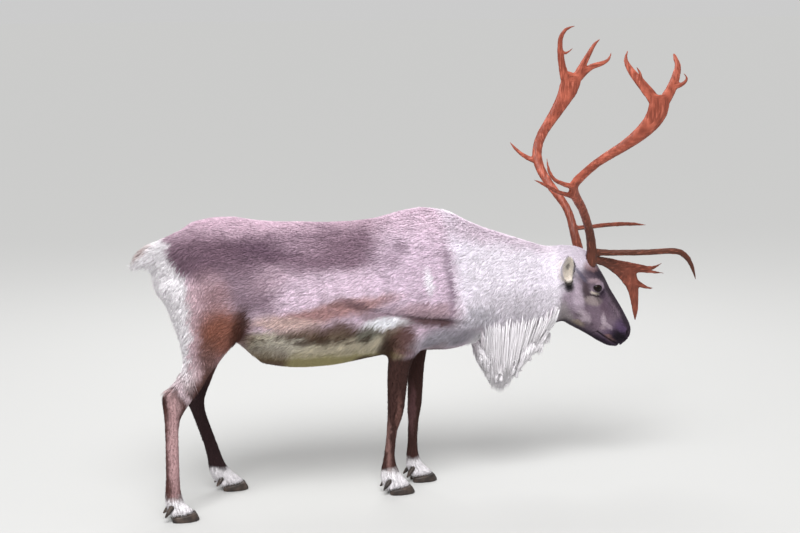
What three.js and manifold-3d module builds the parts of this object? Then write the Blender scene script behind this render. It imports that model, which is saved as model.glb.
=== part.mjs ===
// A standing reindeer bull, life size, in millimetres.
// X runs forward to the nose, Y to the animal's left and Z up from the floor.

import * as THREE from 'three';
import { mergeVertices } from 'three/addons/utils/BufferGeometryUtils.js';
import Module from 'manifold-3d';

const wasm = await Module();
wasm.setup();

// Driving dimensions
const GAP = 0.3;              // clearance between touching pieces
const POLL_X = 769;           // top of the head, ahead of the fore hooves
const POLL_Z = 935;           // height of the poll
const HEAD_TILT = 52;         // degrees that the face hangs below level
const HEAD_TURN = 8;          // degrees that the head looks to the left
const EYE_RADIUS = 21;
const EAR_LENGTH = 134;
const EAR_WIDTH = 62;
const CLAW_LENGTH = 106;
const CLAW_WIDTH = 44;
const BODY_SIDES = 24;
const BODY_STEP = 60;         // distance between the rings of the trunk
const HEAD_SIDES = 24;
const HEAD_STEP = 24;
const LEG_SIDES = 12;
const LEG_STEP = 45;
const BEAM_SIDES = 8;
const TINE_SIDES = 6;

// Vectors and angles
const vector = (x, y, z) => new THREE.Vector3(x, y, z);
const radians = THREE.MathUtils.degToRad;
const UP = vector(0, 0, 1);
const LEFT = vector(0, 1, 0);
const FORWARD = vector(1, 0, 0);

// Trunk and neck, one row for each station from the tail to the poll:
// height of the back, height of the underside, half width, height of the widest place
// and how broad the back is above it, where 2 is round and less is ridged
const TRUNK = [
  { x: -992, top: 985, low: 885, half: 45, wide: 940, peak: 2.1 },
  { x: -975, top: 1034, low: 842, half: 98, wide: 945, peak: 2.1 },
  { x: -950, top: 1060, low: 814, half: 128, wide: 945, peak: 2.1 },
  { x: -912, top: 1072, low: 787, half: 154, wide: 940, peak: 2.1 },
  { x: -870, top: 1095, low: 760, half: 174, wide: 930, peak: 2.0 },
  { x: -820, top: 1127, low: 730, half: 188, wide: 910, peak: 1.95 },
  { x: -740, top: 1139, low: 686, half: 200, wide: 885, peak: 1.95 },
  { x: -660, top: 1137, low: 622, half: 208, wide: 860, peak: 2.0 },
  { x: -580, top: 1120, low: 546, half: 215, wide: 830, peak: 2.1 },
  { x: -500, top: 1111, low: 530, half: 224, wide: 800, peak: 2.15 },
  { x: -400, top: 1107, low: 522, half: 231, wide: 785, peak: 2.15 },
  { x: -300, top: 1101, low: 524, half: 231, wide: 785, peak: 2.1 },
  { x: -200, top: 1102, low: 536, half: 224, wide: 790, peak: 2.0 },
  { x: -100, top: 1112, low: 549, half: 212, wide: 795, peak: 1.85 },
  { x: 0, top: 1138, low: 557, half: 198, wide: 795, peak: 1.75 },
  { x: 80, top: 1149, low: 557, half: 187, wide: 790, peak: 1.7 },
  { x: 180, top: 1132, low: 553, half: 173, wide: 785, peak: 1.75 },
  { x: 270, top: 1089, low: 567, half: 157, wide: 785, peak: 1.9 },
  { x: 350, top: 1055, low: 585, half: 143, wide: 800, peak: 2.0 },
  { x: 430, top: 1027, low: 600, half: 132, wide: 805, peak: 2.05 },
  { x: 520, top: 997, low: 612, half: 122, wide: 805, peak: 2.1 },
  { x: 600, top: 974, low: 620, half: 115, wide: 800, peak: 2.1 },
  { x: 675, top: 956, low: 645, half: 102, wide: 800, peak: 2.1 },
  { x: 725, top: 925, low: 705, half: 74, wide: 810, peak: 2.1 },
  { x: 745, top: 885, low: 760, half: 40, wide: 825, peak: 2.1 },
];

// Head, along the face from the poll to the lips: distances up from the face line
const HEAD = [
  { u: -90, top: -62, low: -200, half: 60, wide: -130 },
  { u: -45, top: -20, low: -232, half: 84, wide: -122 },
  { u: 0, top: 2, low: -248, half: 92, wide: -110 },
  { u: 50, top: 9, low: -256, half: 94, wide: -100 },
  { u: 100, top: 7, low: -259, half: 91, wide: -92 },
  { u: 150, top: 4, low: -254, half: 83, wide: -92 },
  { u: 200, top: -3, low: -241, half: 72, wide: -104 },
  { u: 250, top: -5, low: -219, half: 61, wide: -106 },
  { u: 300, top: -8, low: -202, half: 54, wide: -102 },
  { u: 340, top: -13, low: -193, half: 50, wide: -98 },
  { u: 378, top: -19, low: -181, half: 49, wide: -97 },
  { u: 408, top: -28, low: -168, half: 46, wide: -96 },
  { u: 430, top: -45, low: -148, half: 39, wide: -95 },
  { u: 442, top: -66, low: -124, half: 27, wide: -93 },
  { u: 447, top: -82, low: -106, half: 12, wide: -93 },
];

// Bulges and hollows of the head, the same on both sides, in the head's own directions
const FACE = [
  { at: [125, -76, 88], size: [40, 34, 60], rise: 7 },
  { at: [96, -44, 74], size: [34, 24, 50], rise: 6 },
  { at: [186, -84, 72], size: [34, 30, 50], rise: -6 },
  { at: [140, -175, 70], size: [62, 46, 60], rise: 7 },
  { at: [275, -160, 50], size: [46, 40, 50], rise: -4 },
  { at: [385, -80, 45], size: [40, 34, 50], rise: 4 },
  { at: [15, 6, 0], size: [38, 40, 60], rise: 9 },
];

// Muscles and hollows of the trunk and legs, the same on both sides
const MUSCLES = [
  { at: [-800, 190, 870], size: [130, 90, 150], rise: 12 },
  { at: [-625, 160, 1040], size: [50, 80, 45], rise: 10 },
  { at: [-565, 210, 930], size: [75, 90, 100], rise: -12 },
  { at: [90, 175, 890], size: [110, 90, 170], rise: 14 },
  { at: [215, 150, 715], size: [75, 80, 80], rise: 16 },
  { at: [-75, 205, 850], size: [50, 90, 180], rise: -8 },
  { at: [-20, 150, 625], size: [75, 80, 60], rise: 16 },
];

// Legs, from inside the trunk down to the hoof: front and rear edge, half width
// and the distance of the middle from the animal's own middle
const RIGHT_HIND = [
  { z: 955, front: -730, rear: -925, half: 55, side: 98 },
  { z: 900, front: -665, rear: -985, half: 86, side: 112 },
  { z: 830, front: -628, rear: -966, half: 92, side: 121 },
  { z: 760, front: -622, rear: -943, half: 86, side: 130 },
  { z: 700, front: -646, rear: -922, half: 76, side: 139 },
  { z: 660, front: -697, rear: -912, half: 66, side: 146 },
  { z: 620, front: -737, rear: -907, half: 59, side: 156 },
  { z: 580, front: -770, rear: -911, half: 51, side: 160 },
  { z: 545, front: -801, rear: -927, half: 44, side: 163 },
  { z: 518, front: -820, rear: -950, half: 40, side: 166 },
  { z: 497, front: -832, rear: -979, half: 36, side: 168 },
  { z: 484, front: -843, rear: -993, half: 35, side: 169 },
  { z: 462, front: -864, rear: -993, half: 35, side: 170 },
  { z: 425, front: -894, rear: -989, half: 32, side: 172 },
  { z: 390, front: -916, rear: -985, half: 27, side: 175 },
  { z: 340, front: -924, rear: -985, half: 23, side: 178 },
  { z: 270, front: -924, rear: -987, half: 21, side: 182 },
  { z: 190, front: -925, rear: -989, half: 21, side: 186 },
  { z: 135, front: -925, rear: -990, half: 24, side: 188 },
  { z: 100, front: -921, rear: -995, half: 30, side: 190 },
  { z: 70, front: -914, rear: -992, half: 33, side: 190 },
  { z: 45, front: -888, rear: -984, half: 38, side: 190 },
  { z: 15, front: -868, rear: -972, half: 41, side: 190 },
];
const LEFT_HIND = [
  { z: 955, front: -700, rear: -900, half: 55, side: 98 },
  { z: 900, front: -645, rear: -975, half: 86, side: 112 },
  { z: 830, front: -622, rear: -958, half: 92, side: 121 },
  { z: 760, front: -618, rear: -925, half: 86, side: 130 },
  { z: 700, front: -624, rear: -882, half: 76, side: 137 },
  { z: 660, front: -637, rear: -858, half: 66, side: 143 },
  { z: 620, front: -661, rear: -842, half: 59, side: 151 },
  { z: 580, front: -678, rear: -836, half: 51, side: 154 },
  { z: 545, front: -702, rear: -842, half: 44, side: 156 },
  { z: 518, front: -718, rear: -858, half: 40, side: 158 },
  { z: 492, front: -730, rear: -886, half: 36, side: 159 },
  { z: 474, front: -737, rear: -899, half: 35, side: 160 },
  { z: 450, front: -747, rear: -896, half: 35, side: 160 },
  { z: 412, front: -765, rear: -876, half: 31, side: 161 },
  { z: 376, front: -776, rear: -858, half: 27, side: 162 },
  { z: 330, front: -772, rear: -838, half: 23, side: 163 },
  { z: 270, front: -752, rear: -818, half: 21, side: 164 },
  { z: 190, front: -725, rear: -792, half: 21, side: 165 },
  { z: 135, front: -708, rear: -779, half: 24, side: 165 },
  { z: 100, front: -692, rear: -776, half: 30, side: 165 },
  { z: 72, front: -668, rear: -768, half: 33, side: 165 },
  { z: 45, front: -634, rear: -752, half: 38, side: 165 },
  { z: 15, front: -618, rear: -730, half: 41, side: 165 },
];
const RIGHT_FORE = [
  { z: 760, front: 130, rear: -60, half: 55, side: 125 },
  { z: 680, front: 105, rear: -88, half: 62, side: 120 },
  { z: 620, front: 72, rear: -92, half: 60, side: 110 },
  { z: 575, front: 46, rear: -90, half: 54, side: 101 },
  { z: 540, front: 19, rear: -91, half: 47, side: 95 },
  { z: 510, front: 6, rear: -91, half: 42, side: 92 },
  { z: 450, front: -2, rear: -93, half: 36, side: 89 },
  { z: 385, front: -9, rear: -92, half: 31, side: 86 },
  { z: 340, front: -15, rear: -92, half: 30, side: 85 },
  { z: 300, front: -26, rear: -93, half: 27, side: 84 },
  { z: 260, front: -42, rear: -96, half: 22, side: 83 },
  { z: 215, front: -48, rear: -100, half: 20, side: 82 },
  { z: 160, front: -53, rear: -108, half: 20, side: 81 },
  { z: 130, front: -51, rear: -114, half: 23, side: 80 },
  { z: 100, front: -41, rear: -120, half: 29, side: 80 },
  { z: 72, front: -25, rear: -120, half: 32, side: 80 },
  { z: 45, front: 0, rear: -114, half: 37, side: 80 },
  { z: 15, front: 15, rear: -100, half: 40, side: 80 },
];
const LEFT_FORE = [
  { z: 760, front: 230, rear: 30, half: 55, side: 125 },
  { z: 680, front: 205, rear: 15, half: 62, side: 118 },
  { z: 620, front: 175, rear: 18, half: 60, side: 106 },
  { z: 575, front: 148, rear: 28, half: 54, side: 96 },
  { z: 540, front: 130, rear: 36, half: 47, side: 89 },
  { z: 500, front: 119, rear: 40, half: 42, side: 85 },
  { z: 450, front: 113, rear: 38, half: 36, side: 80 },
  { z: 385, front: 108, rear: 36, half: 31, side: 76 },
  { z: 335, front: 104, rear: 34, half: 30, side: 74 },
  { z: 295, front: 98, rear: 33, half: 27, side: 72 },
  { z: 255, front: 89, rear: 34, half: 22, side: 70 },
  { z: 210, front: 85, rear: 33, half: 20, side: 69 },
  { z: 155, front: 83, rear: 29, half: 20, side: 67 },
  { z: 128, front: 84, rear: 26, half: 23, side: 66 },
  { z: 98, front: 89, rear: 24, half: 29, side: 65 },
  { z: 70, front: 104, rear: 26, half: 32, side: 65 },
  { z: 45, front: 132, rear: 34, half: 37, side: 65 },
  { z: 15, front: 150, rear: 48, half: 40, side: 65 },
];

// Antlers, measured from the poll: forward, to the left and up, then width and thickness
const RIGHT_ANTLER = {
  beam: [
    [6, -50, -62, 44, 44], [4, -54, -42, 48, 46], [7, -58, -4, 42, 40], [-3, -70, 50, 39, 36],
    [-35, -100, 117, 36, 33], [-88, -145, 194, 37, 31], [-146, -190, 253, 42, 30],
    [-168, -220, 295, 44, 29], [-145, -250, 337, 38, 27], [-103, -285, 385, 36, 26],
    [-57, -320, 423, 40, 25], [-6, -345, 459, 48, 24], [43, -360, 497, 62, 23],
    [85, -370, 538, 78, 22], [112, -375, 584, 98, 21], [120, -376, 622, 96, 19],
    [121, -376, 646, 70, 15],
  ],
  front_prong: [
    [118, -375, 590, 40, 18], [150, -374, 632, 56, 19], [180, -369, 676, 50, 18],
    [203, -358, 716, 42, 16], [219, -345, 754, 34, 14], [215, -334, 782, 22, 11],
    [211, -325, 804, 8, 6],
  ],
  front_snag: [
    [186, -368, 672, 26, 14], [224, -378, 687, 18, 12], [237, -384, 706, 13, 9],
    [218, -388, 727, 5, 4],
  ],
  rear_prong: [
    [112, -375, 590, 40, 18], [92, -373, 632, 56, 19], [60, -366, 673, 48, 18],
    [30, -355, 710, 40, 16], [4, -345, 746, 32, 14], [-9, -333, 782, 20, 11],
    [8, -320, 816, 7, 5],
  ],
  rear_snag: [
    [46, -362, 690, 22, 13], [34, -370, 730, 14, 9], [11, -379, 757, 5, 4],
  ],
  bez: [
    [0, -58, -6, 34, 26], [30, -60, -3, 32, 26], [83, -75, -7, 28, 23], [163, -100, -8, 27, 22],
    [245, -120, -9, 27, 21], [328, -138, -7, 28, 20], [376, -146, -15, 28, 19],
    [414, -146, -46, 25, 17], [441, -140, -90, 17, 13], [459, -135, -137, 5, 4],
  ],
  brow: [
    [0, -57, -22, 34, 24], [32, -53, -36, 36, 22], [73, -45, -46, 42, 19], [127, -35, -68, 62, 16],
    [178, -26, -95, 84, 14], [212, -20, -130, 86, 13], [232, -16, -178, 60, 12],
    [240, -15, -225, 46, 11], [243, -15, -267, 34, 9], [243, -15, -311, 8, 5],
  ],
  brow_upper: [
    [150, -28, -62, 34, 13], [215, -22, -77, 34, 13], [268, -19, -88, 28, 12],
    [322, -15, -95, 21, 10], [374, -10, -78, 5, 4],
  ],
  brow_middle: [
    [205, -22, -88, 40, 13], [262, -22, -98, 26, 11], [314, -30, -108, 15, 9],
    [369, -36, -117, 5, 4],
  ],
  brow_lower: [
    [225, -18, -140, 40, 12], [262, -22, -160, 26, 11], [290, -30, -173, 15, 9],
    [318, -36, -177, 5, 4],
  ],
  tine_a: [
    [-160, -215, 288, 26, 20], [-186, -222, 294, 24, 19], [-225, -235, 306, 21, 16],
    [-265, -245, 323, 18, 14], [-297, -255, 360, 15, 12], [-310, -262, 412, 5, 4],
  ],
  tine_b: [
    [-150, -190, 246, 24, 20], [-180, -200, 256, 22, 18], [-235, -215, 272, 19, 15],
    [-283, -230, 295, 17, 13], [-325, -242, 315, 13, 10], [-360, -250, 329, 5, 4],
  ],
};
const LEFT_ANTLER = {
  beam: [
    [6, 50, -62, 44, 44], [8, 54, -42, 48, 46], [10, 60, 4, 42, 40], [2, 80, 65, 37, 35],
    [2, 110, 120, 35, 32], [-5, 140, 167, 35, 31], [-27, 175, 215, 36, 30], [-50, 210, 263, 39, 29],
    [-67, 250, 319, 44, 28], [-66, 280, 371, 47, 27], [-45, 305, 424, 46, 26],
    [0, 330, 479, 48, 25], [49, 345, 532, 56, 24], [92, 355, 586, 72, 22],
    [126, 360, 640, 98, 21], [142, 361, 680, 102, 19], [152, 361, 706, 76, 15],
  ],
  rear_prong: [
    [124, 360, 655, 40, 18], [108, 360, 690, 50, 19], [95, 360, 738, 40, 17],
    [82, 355, 806, 31, 15], [79, 345, 856, 26, 13], [97, 335, 892, 19, 11],
    [137, 325, 907, 5, 4],
  ],
  rear_snag: [
    [86, 356, 800, 22, 12], [116, 364, 792, 15, 9], [153, 370, 814, 5, 4],
  ],
  middle_prong: [
    [152, 360, 660, 38, 18], [172, 360, 702, 42, 17], [198, 355, 749, 34, 15],
    [224, 350, 795, 26, 13], [248, 345, 833, 17, 10], [268, 340, 850, 5, 4],
  ],
  front_prong: [
    [150, 360, 655, 38, 18], [188, 360, 698, 40, 17], [237, 355, 733, 30, 15],
    [288, 350, 747, 24, 12], [314, 345, 764, 16, 9], [323, 340, 792, 5, 4],
  ],
  bez: [
    [-10, 88, 78, 24, 18], [22, 92, 79, 23, 18], [89, 103, 78, 22, 17], [172, 120, 79, 21, 16],
    [254, 137, 77, 21, 15], [337, 150, 70, 17, 12], [396, 156, 62, 5, 4],
  ],
  brow: [
    [16, 54, -26, 22, 18], [52, 52, -40, 20, 16], [95, 48, -56, 17, 14], [133, 41, -77, 15, 12],
    [173, 35, -104, 12, 10], [205, 30, -137, 4, 4],
  ],
  tine: [
    [-62, 265, 340, 26, 20], [-84, 280, 350, 24, 18], [-125, 295, 373, 20, 15],
    [-155, 310, 402, 15, 12], [-174, 320, 429, 5, 4],
  ],
};

// Slope of one column at a station, level at each turning point so that nothing overshoots
function slopeAt(stations, key, column, index) {
  const last = stations.length - 1;
  if (index === 0 || index === last) {
    return 0;
  }
  const [a, b, c] = [stations[index - 1], stations[index], stations[index + 1]];
  const before = (b[column] - a[column]) / (b[key] - a[key]);
  const after = (c[column] - b[column]) / (c[key] - b[key]);
  if (before * after <= 0) {
    return 0;
  }
  return 2 * before * after / (before + after);
}

// Every column of a table of stations, at one place along its key
function stationAt(stations, key, at) {
  const rising = stations[1][key] > stations[0][key];
  let index = 0;
  while (index < stations.length - 2 && (rising === (stations[index + 1][key] < at))) {
    index += 1;
  }
  const [a, b] = [stations[index], stations[index + 1]];
  const span = b[key] - a[key];
  const t = (at - a[key]) / span;
  const result = {};
  for (const column of Object.keys(a)) {
    const rise = (b[column] - a[column]);
    const first = slopeAt(stations, key, column, index) * span;
    const second = slopeAt(stations, key, column, index + 1) * span;
    result[column] = a[column] + first * t + (3 * rise - 2 * first - second) * t * t
      + (first + second - 2 * rise) * t * t * t;
  }
  result[key] = at;
  return result;
}

// Places along a table's key, no further apart than a step
function placesAlong(stations, key, step) {
  const places = [stations[0][key]];
  for (let i = 1; i < stations.length; i += 1) {
    const from = stations[i - 1][key];
    const to = stations[i][key];
    const count = Math.max(1, Math.round(Math.abs(to - from) / step));
    for (let j = 1; j <= count; j += 1) {
      places.push(from + (to - from) * j / count);
    }
  }
  return places;
}

// A closed mesh over rings of equal count, with a fan at each end
function coverRings(rings) {
  const positions = [];
  const indices = [];
  const sides = rings[0].length;
  for (const ring of rings) {
    for (const point of ring) {
      positions.push(point.x, point.y, point.z);
    }
  }
  for (let i = 0; i + 1 < rings.length; i += 1) {
    for (let j = 0; j < sides; j += 1) {
      const a = i * sides + j;
      const b = i * sides + (j + 1) % sides;
      indices.push(a, b, b + sides, a, b + sides, a + sides);
    }
  }
  for (const end of [0, rings.length - 1]) {
    const middle = vector(0, 0, 0);
    rings[end].forEach((point) => middle.addScaledVector(point, 1 / sides));
    const hub = positions.length / 3;
    positions.push(middle.x, middle.y, middle.z);
    for (let j = 0; j < sides; j += 1) {
      const a = end * sides + j;
      const b = end * sides + (j + 1) % sides;
      indices.push(hub, end === 0 ? b : a, end === 0 ? a : b);
    }
  }
  const geometry = new THREE.BufferGeometry();
  geometry.setAttribute('position', new THREE.Float32BufferAttribute(positions, 3));
  geometry.setIndex(indices);
  return geometry;
}

// A solid from a closed geometry, turned right side out
function solidOf(geometry, matrix = null) {
  const bare = geometry.clone();
  bare.deleteAttribute('normal');
  bare.deleteAttribute('uv');
  if (matrix) {
    bare.applyMatrix4(matrix);
  }
  const merged = mergeVertices(bare, 1e-3);
  const vertProperties = Float32Array.from(merged.attributes.position.array);
  const triVerts = Uint32Array.from(merged.index.array);
  let volume = 0;
  const corner = (i) => new THREE.Vector3().fromArray(vertProperties, triVerts[i] * 3);
  for (let i = 0; i < triVerts.length; i += 3) {
    volume += corner(i).dot(corner(i + 1).cross(corner(i + 2)));
  }
  if (volume < 0) {
    for (let i = 0; i < triVerts.length; i += 3) {
      [triVerts[i + 1], triVerts[i + 2]] = [triVerts[i + 2], triVerts[i + 1]];
    }
  }
  return new wasm.Manifold(new wasm.Mesh({ numProp: 3, vertProperties, triVerts }));
}

const fuse = (solids) => solids.reduce((whole, piece) => whole.add(piece));

// The largest closed surface of a solid
function largest(solid) {
  const pieces = solid.decompose();
  pieces.sort((a, b) => b.volume() - a.volume());
  return pieces[0];
}

// A ring of points around a middle, rounder or squarer by its exponent
function ovalRing(middle, across, upward, sizes, sides) {
  const ring = [];
  const square = sizes.square ?? 2;
  for (let i = 0; i < sides; i += 1) {
    const angle = 2 * Math.PI * (i + 0.5) / sides;
    const [c, s] = [Math.cos(angle), Math.sin(angle)];
    const power = 2 / (s > 0 ? sizes.peak ?? square : square);
    const side = Math.sign(c) * Math.abs(c) ** power * sizes.half;
    const lift = Math.sign(s) * Math.abs(s) ** power * (s > 0 ? sizes.up : sizes.down);
    ring.push(middle.clone().addScaledVector(across, side).addScaledVector(upward, lift));
  }
  return ring;
}

// How far the bulges near a place lift the surface there
function riseAt(place, bulges) {
  let rise = 0;
  for (const bulge of bulges) {
    const far = place.map((value, i) => (value - bulge.at[i]) / bulge.size[i]);
    rise += bulge.rise * Math.exp(-(far[0] ** 2 + far[1] ** 2 + far[2] ** 2));
  }
  return rise;
}

// The trunk with the neck, as one smooth form
function makeTrunk() {
  const rings = placesAlong(TRUNK, 'x', BODY_STEP).map((x) => {
    const s = stationAt(TRUNK, 'x', x);
    const middle = vector(x, 0, s.wide);
    const sizes = { half: s.half, up: s.top - s.wide, down: s.wide - s.low, square: 2.1, peak: s.peak };
    return ovalRing(middle, LEFT, UP, sizes, BODY_SIDES).map((point) => {
      const rise = riseAt([point.x, Math.abs(point.y), point.z], MUSCLES);
      return point.addScaledVector(point.clone().sub(middle).normalize(), rise);
    });
  });
  return solidOf(coverRings(rings));
}

// One leg with its foot, to the left for side 1 and to the right for side -1
function makeLeg(stations, side) {
  const rings = placesAlong(stations, 'z', LEG_STEP).map((z) => {
    const s = stationAt(stations, 'z', z);
    const middle = vector((s.front + s.rear) / 2, side * s.side, z);
    const long = (s.front - s.rear) / 2;
    const sizes = { half: s.half, up: long, down: long, square: 2.1 };
    return ovalRing(middle, LEFT, FORWARD, sizes, LEG_SIDES);
  });
  return solidOf(coverRings(rings));
}

// Directions of the turned, lowered head
const facing = FORWARD.clone().applyAxisAngle(UP, radians(HEAD_TURN));
const sideways = LEFT.clone().applyAxisAngle(UP, radians(HEAD_TURN));
const alongFace = facing.clone().multiplyScalar(Math.cos(radians(HEAD_TILT)))
  .addScaledVector(UP, -Math.sin(radians(HEAD_TILT)));
const offFace = facing.clone().multiplyScalar(Math.sin(radians(HEAD_TILT)))
  .addScaledVector(UP, Math.cos(radians(HEAD_TILT)));
const poll = vector(POLL_X, 0, POLL_Z);

// A point of the head: down the face, out from it and to the left
function headPoint(u, v, w) {
  return poll.clone().addScaledVector(alongFace, u).addScaledVector(offFace, v)
    .addScaledVector(sideways, w);
}

// The same three distances for a point of the head, counted outwards from its middle plane
function headPlace(point) {
  const from = point.clone().sub(poll);
  return [from.dot(alongFace), from.dot(offFace), Math.abs(from.dot(sideways))];
}

// The plain head
const HEAD_SQUARE = 2.1;
function makeSkull() {
  const rings = placesAlong(HEAD, 'u', HEAD_STEP).map((u) => {
    const s = stationAt(HEAD, 'u', u);
    const middle = headPoint(u, s.wide, 0);
    const sizes = { half: s.half, up: s.top - s.wide, down: s.wide - s.low, square: HEAD_SQUARE };
    return ovalRing(middle, sideways, offFace, sizes, HEAD_SIDES).map((point) => {
      const rise = riseAt(headPlace(point), FACE);
      return point.addScaledVector(point.clone().sub(middle).normalize(), rise);
    });
  });
  return solidOf(coverRings(rings));
}

// Half the head's width at a place of its side view
function headHalf(u, v) {
  const s = stationAt(HEAD, 'u', u);
  const reach = v > s.wide ? s.top - s.wide : s.wide - s.low;
  const share = Math.min(1, Math.abs(v - s.wide) / reach);
  const plain = s.half * (1 - share ** HEAD_SQUARE) ** (1 / HEAD_SQUARE);
  return plain + riseAt([u, v, plain], FACE);
}

// A tapered bar along a path of rows: forward, left, up, width and thickness
function makeTine(rows, grow = 0) {
  const points = rows.map(([f, l, z]) => poll.clone().addScaledVector(facing, f)
    .addScaledVector(sideways, l).addScaledVector(UP, z));
  const curve = new THREE.CatmullRomCurve3(points, false, 'centripetal');
  const count = (rows.length - 1) * 2;
  const rings = [];
  for (let i = 0; i <= count; i += 1) {
    const t = i / count;
    const row = Math.min(rows.length - 2, Math.floor(i / 2));
    const part = i / 2 - row;
    const width = rows[row][3] * (1 - part) + rows[row + 1][3] * part;
    const thick = rows[row][4] * (1 - part) + rows[row + 1][4] * part;
    const middle = curve.getPoint(t);
    const tangent = curve.getTangent(t);
    if (i === 0 || i === count) {
      middle.addScaledVector(tangent, i === 0 ? -grow : grow);
    }
    const broad = tangent.clone().cross(sideways).normalize();
    const thin = broad.clone().cross(tangent).normalize();
    const sizes = { half: width / 2 + grow, up: thick / 2 + grow, down: thick / 2 + grow };
    rings.push(ovalRing(middle, broad, thin, sizes, rows.length > 12 ? BEAM_SIDES : TINE_SIDES));
  }
  return solidOf(coverRings(rings));
}

// A thin disc that parts a solid where a path passes a point
function cutDisc(middle, direction, radius, thickness = GAP) {
  const disc = new THREE.CylinderGeometry(radius, radius, thickness, 24);
  const turn = new THREE.Quaternion().setFromUnitVectors(vector(0, 1, 0), direction.clone().normalize());
  return solidOf(disc, new THREE.Matrix4().compose(middle, turn, vector(1, 1, 1)));
}

// A box by its size, middle, tilt about the Y axis and turn about the Z axis
function makeBox(size, middle, tilt = 0, turn = 0) {
  const matrix = new THREE.Matrix4().makeRotationZ(radians(turn))
    .multiply(new THREE.Matrix4().makeRotationY(radians(tilt)));
  matrix.setPosition(...middle);
  return solidOf(new THREE.BoxGeometry(...size), matrix);
}

const group = new THREE.Group();
const nodes = new Map();

// Keeps a finished solid under its node's name
function keep(name, solid, look) {
  nodes.set(name, { solid: largest(solid), look });
}

const LOOKS = {
  coat_grey: { color: 0x8f8282, roughness: 0.95 },
  coat_white: { color: 0xded6cf, roughness: 0.95 },
  coat_face: { color: 0x6b5f5c, roughness: 0.92 },
  coat_leg: { color: 0x5f4840, roughness: 0.92 },
  antler: { color: 0xa9674f, roughness: 0.6 },
  hoof: { color: 0x2b2523, roughness: 0.55 },
  eye: { color: 0x120c0a, roughness: 0.08 },
};

// Eyes, with a raised rim of lid round each
const EYE = { u: 125, v: -76, out: 82 };
const LID = { radius: 21, thick: 5.5, height: 0.8, out: 95 };
function eyeMiddle(side) {
  return headPoint(EYE.u, EYE.v, side * EYE.out);
}
function makeLids(side) {
  const rim = new THREE.TorusGeometry(LID.radius, LID.thick, 5, 14);
  const slant = alongFace.clone().multiplyScalar(0.9).addScaledVector(offFace, 0.44).normalize();
  const outward = sideways.clone().multiplyScalar(side).addScaledVector(facing, 0.12);
  outward.addScaledVector(slant, -outward.dot(slant)).normalize();
  const upright = outward.clone().cross(slant);
  const turn = new THREE.Matrix4().makeBasis(slant, upright.multiplyScalar(LID.height), outward);
  return solidOf(rim, turn.setPosition(headPoint(EYE.u, EYE.v, side * LID.out)));
}
function makeEye(side, grow = 0) {
  const ball = new THREE.SphereGeometry(EYE_RADIUS + grow, 14, 8);
  const middle = eyeMiddle(side);
  return solidOf(ball, new THREE.Matrix4().makeTranslation(middle.x, middle.y, middle.z));
}

// An ear: a leaf with an open cup, rooted in the side of the head
const EAR = [
  { t: 0, wide: 0.30, deep: 6, thick: 30 },
  { t: 0.12, wide: 0.42, deep: 16, thick: 20 },
  { t: 0.3, wide: 0.84, deep: 26, thick: 9 },
  { t: 0.5, wide: 1, deep: 24, thick: 7 },
  { t: 0.7, wide: 0.9, deep: 16, thick: 6 },
  { t: 0.88, wide: 0.56, deep: 7, thick: 5 },
  { t: 1, wide: 0.12, deep: 1, thick: 3 },
];
function makeEar(side, grow = 0) {
  const root = headPoint(21, -159, side * 88);
  const tip = headPoint(-101, -113, side * 148);
  const length = tip.clone().sub(root).normalize();
  const open = sideways.clone().multiplyScalar(side).addScaledVector(facing, 0.35);
  open.addScaledVector(length, -open.dot(length)).normalize();
  const across = length.clone().cross(open).normalize();
  const steps = 6;
  const rings = placesAlong(EAR, 't', 0.2).map((t, i, all) => {
    const s = stationAt(EAR, 't', t);
    const end = (i === 0 ? -grow : 0) + (i === all.length - 1 ? grow : 0);
    const middle = root.clone().addScaledVector(length, t * EAR_LENGTH + end);
    const ring = [];
    for (let j = 0; j <= steps; j += 1) {
      const k = 2 * j / steps - 1;
      const lift = -s.deep * (1 - k * k);
      ring.push(middle.clone().addScaledVector(across, k * (s.wide * EAR_WIDTH / 2 + grow))
        .addScaledVector(open, lift + 3 * grow));
    }
    for (let j = steps; j >= 0; j -= 1) {
      const k = (2 * j / steps - 1) * 0.96;
      const lift = -s.deep * (1 - k * k) - s.thick * (1 - 0.6 * k * k);
      ring.push(middle.clone().addScaledVector(across, k * (s.wide * EAR_WIDTH / 2 + grow))
        .addScaledVector(open, lift - grow));
    }
    return ring;
  });
  return solidOf(coverRings(rings));
}

// The tail, a short brush from the end of the back
const TAIL = [
  { x: -935, top: 1050, low: 975, half: 26 },
  { x: -965, top: 1058, low: 950, half: 38 },
  { x: -1000, top: 1047, low: 940, half: 42 },
  { x: -1030, top: 1030, low: 946, half: 36 },
  { x: -1055, top: 1002, low: 950, half: 24 },
  { x: -1074, top: 962, low: 948, half: 8 },
];
function makeTail(grow = 0) {
  const rings = placesAlong(TAIL, 'x', 30).map((x, i) => {
    const s = stationAt(TAIL, 'x', x);
    const middle = vector(x + (i === 0 ? grow : 0), 0, (s.top + s.low) / 2);
    const high = (s.top - s.low) / 2 + grow;
    return ovalRing(middle, LEFT, UP, { half: s.half + grow, up: high, down: high }, 10);
  });
  return solidOf(coverRings(rings));
}

// A number between 0 and 1 that is the same in every build
let seed = 20;
function chance() {
  seed = (seed * 16807) % 2147483647;
  return seed / 2147483647;
}
const between = (low, high) => low + (high - low) * chance();

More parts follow.
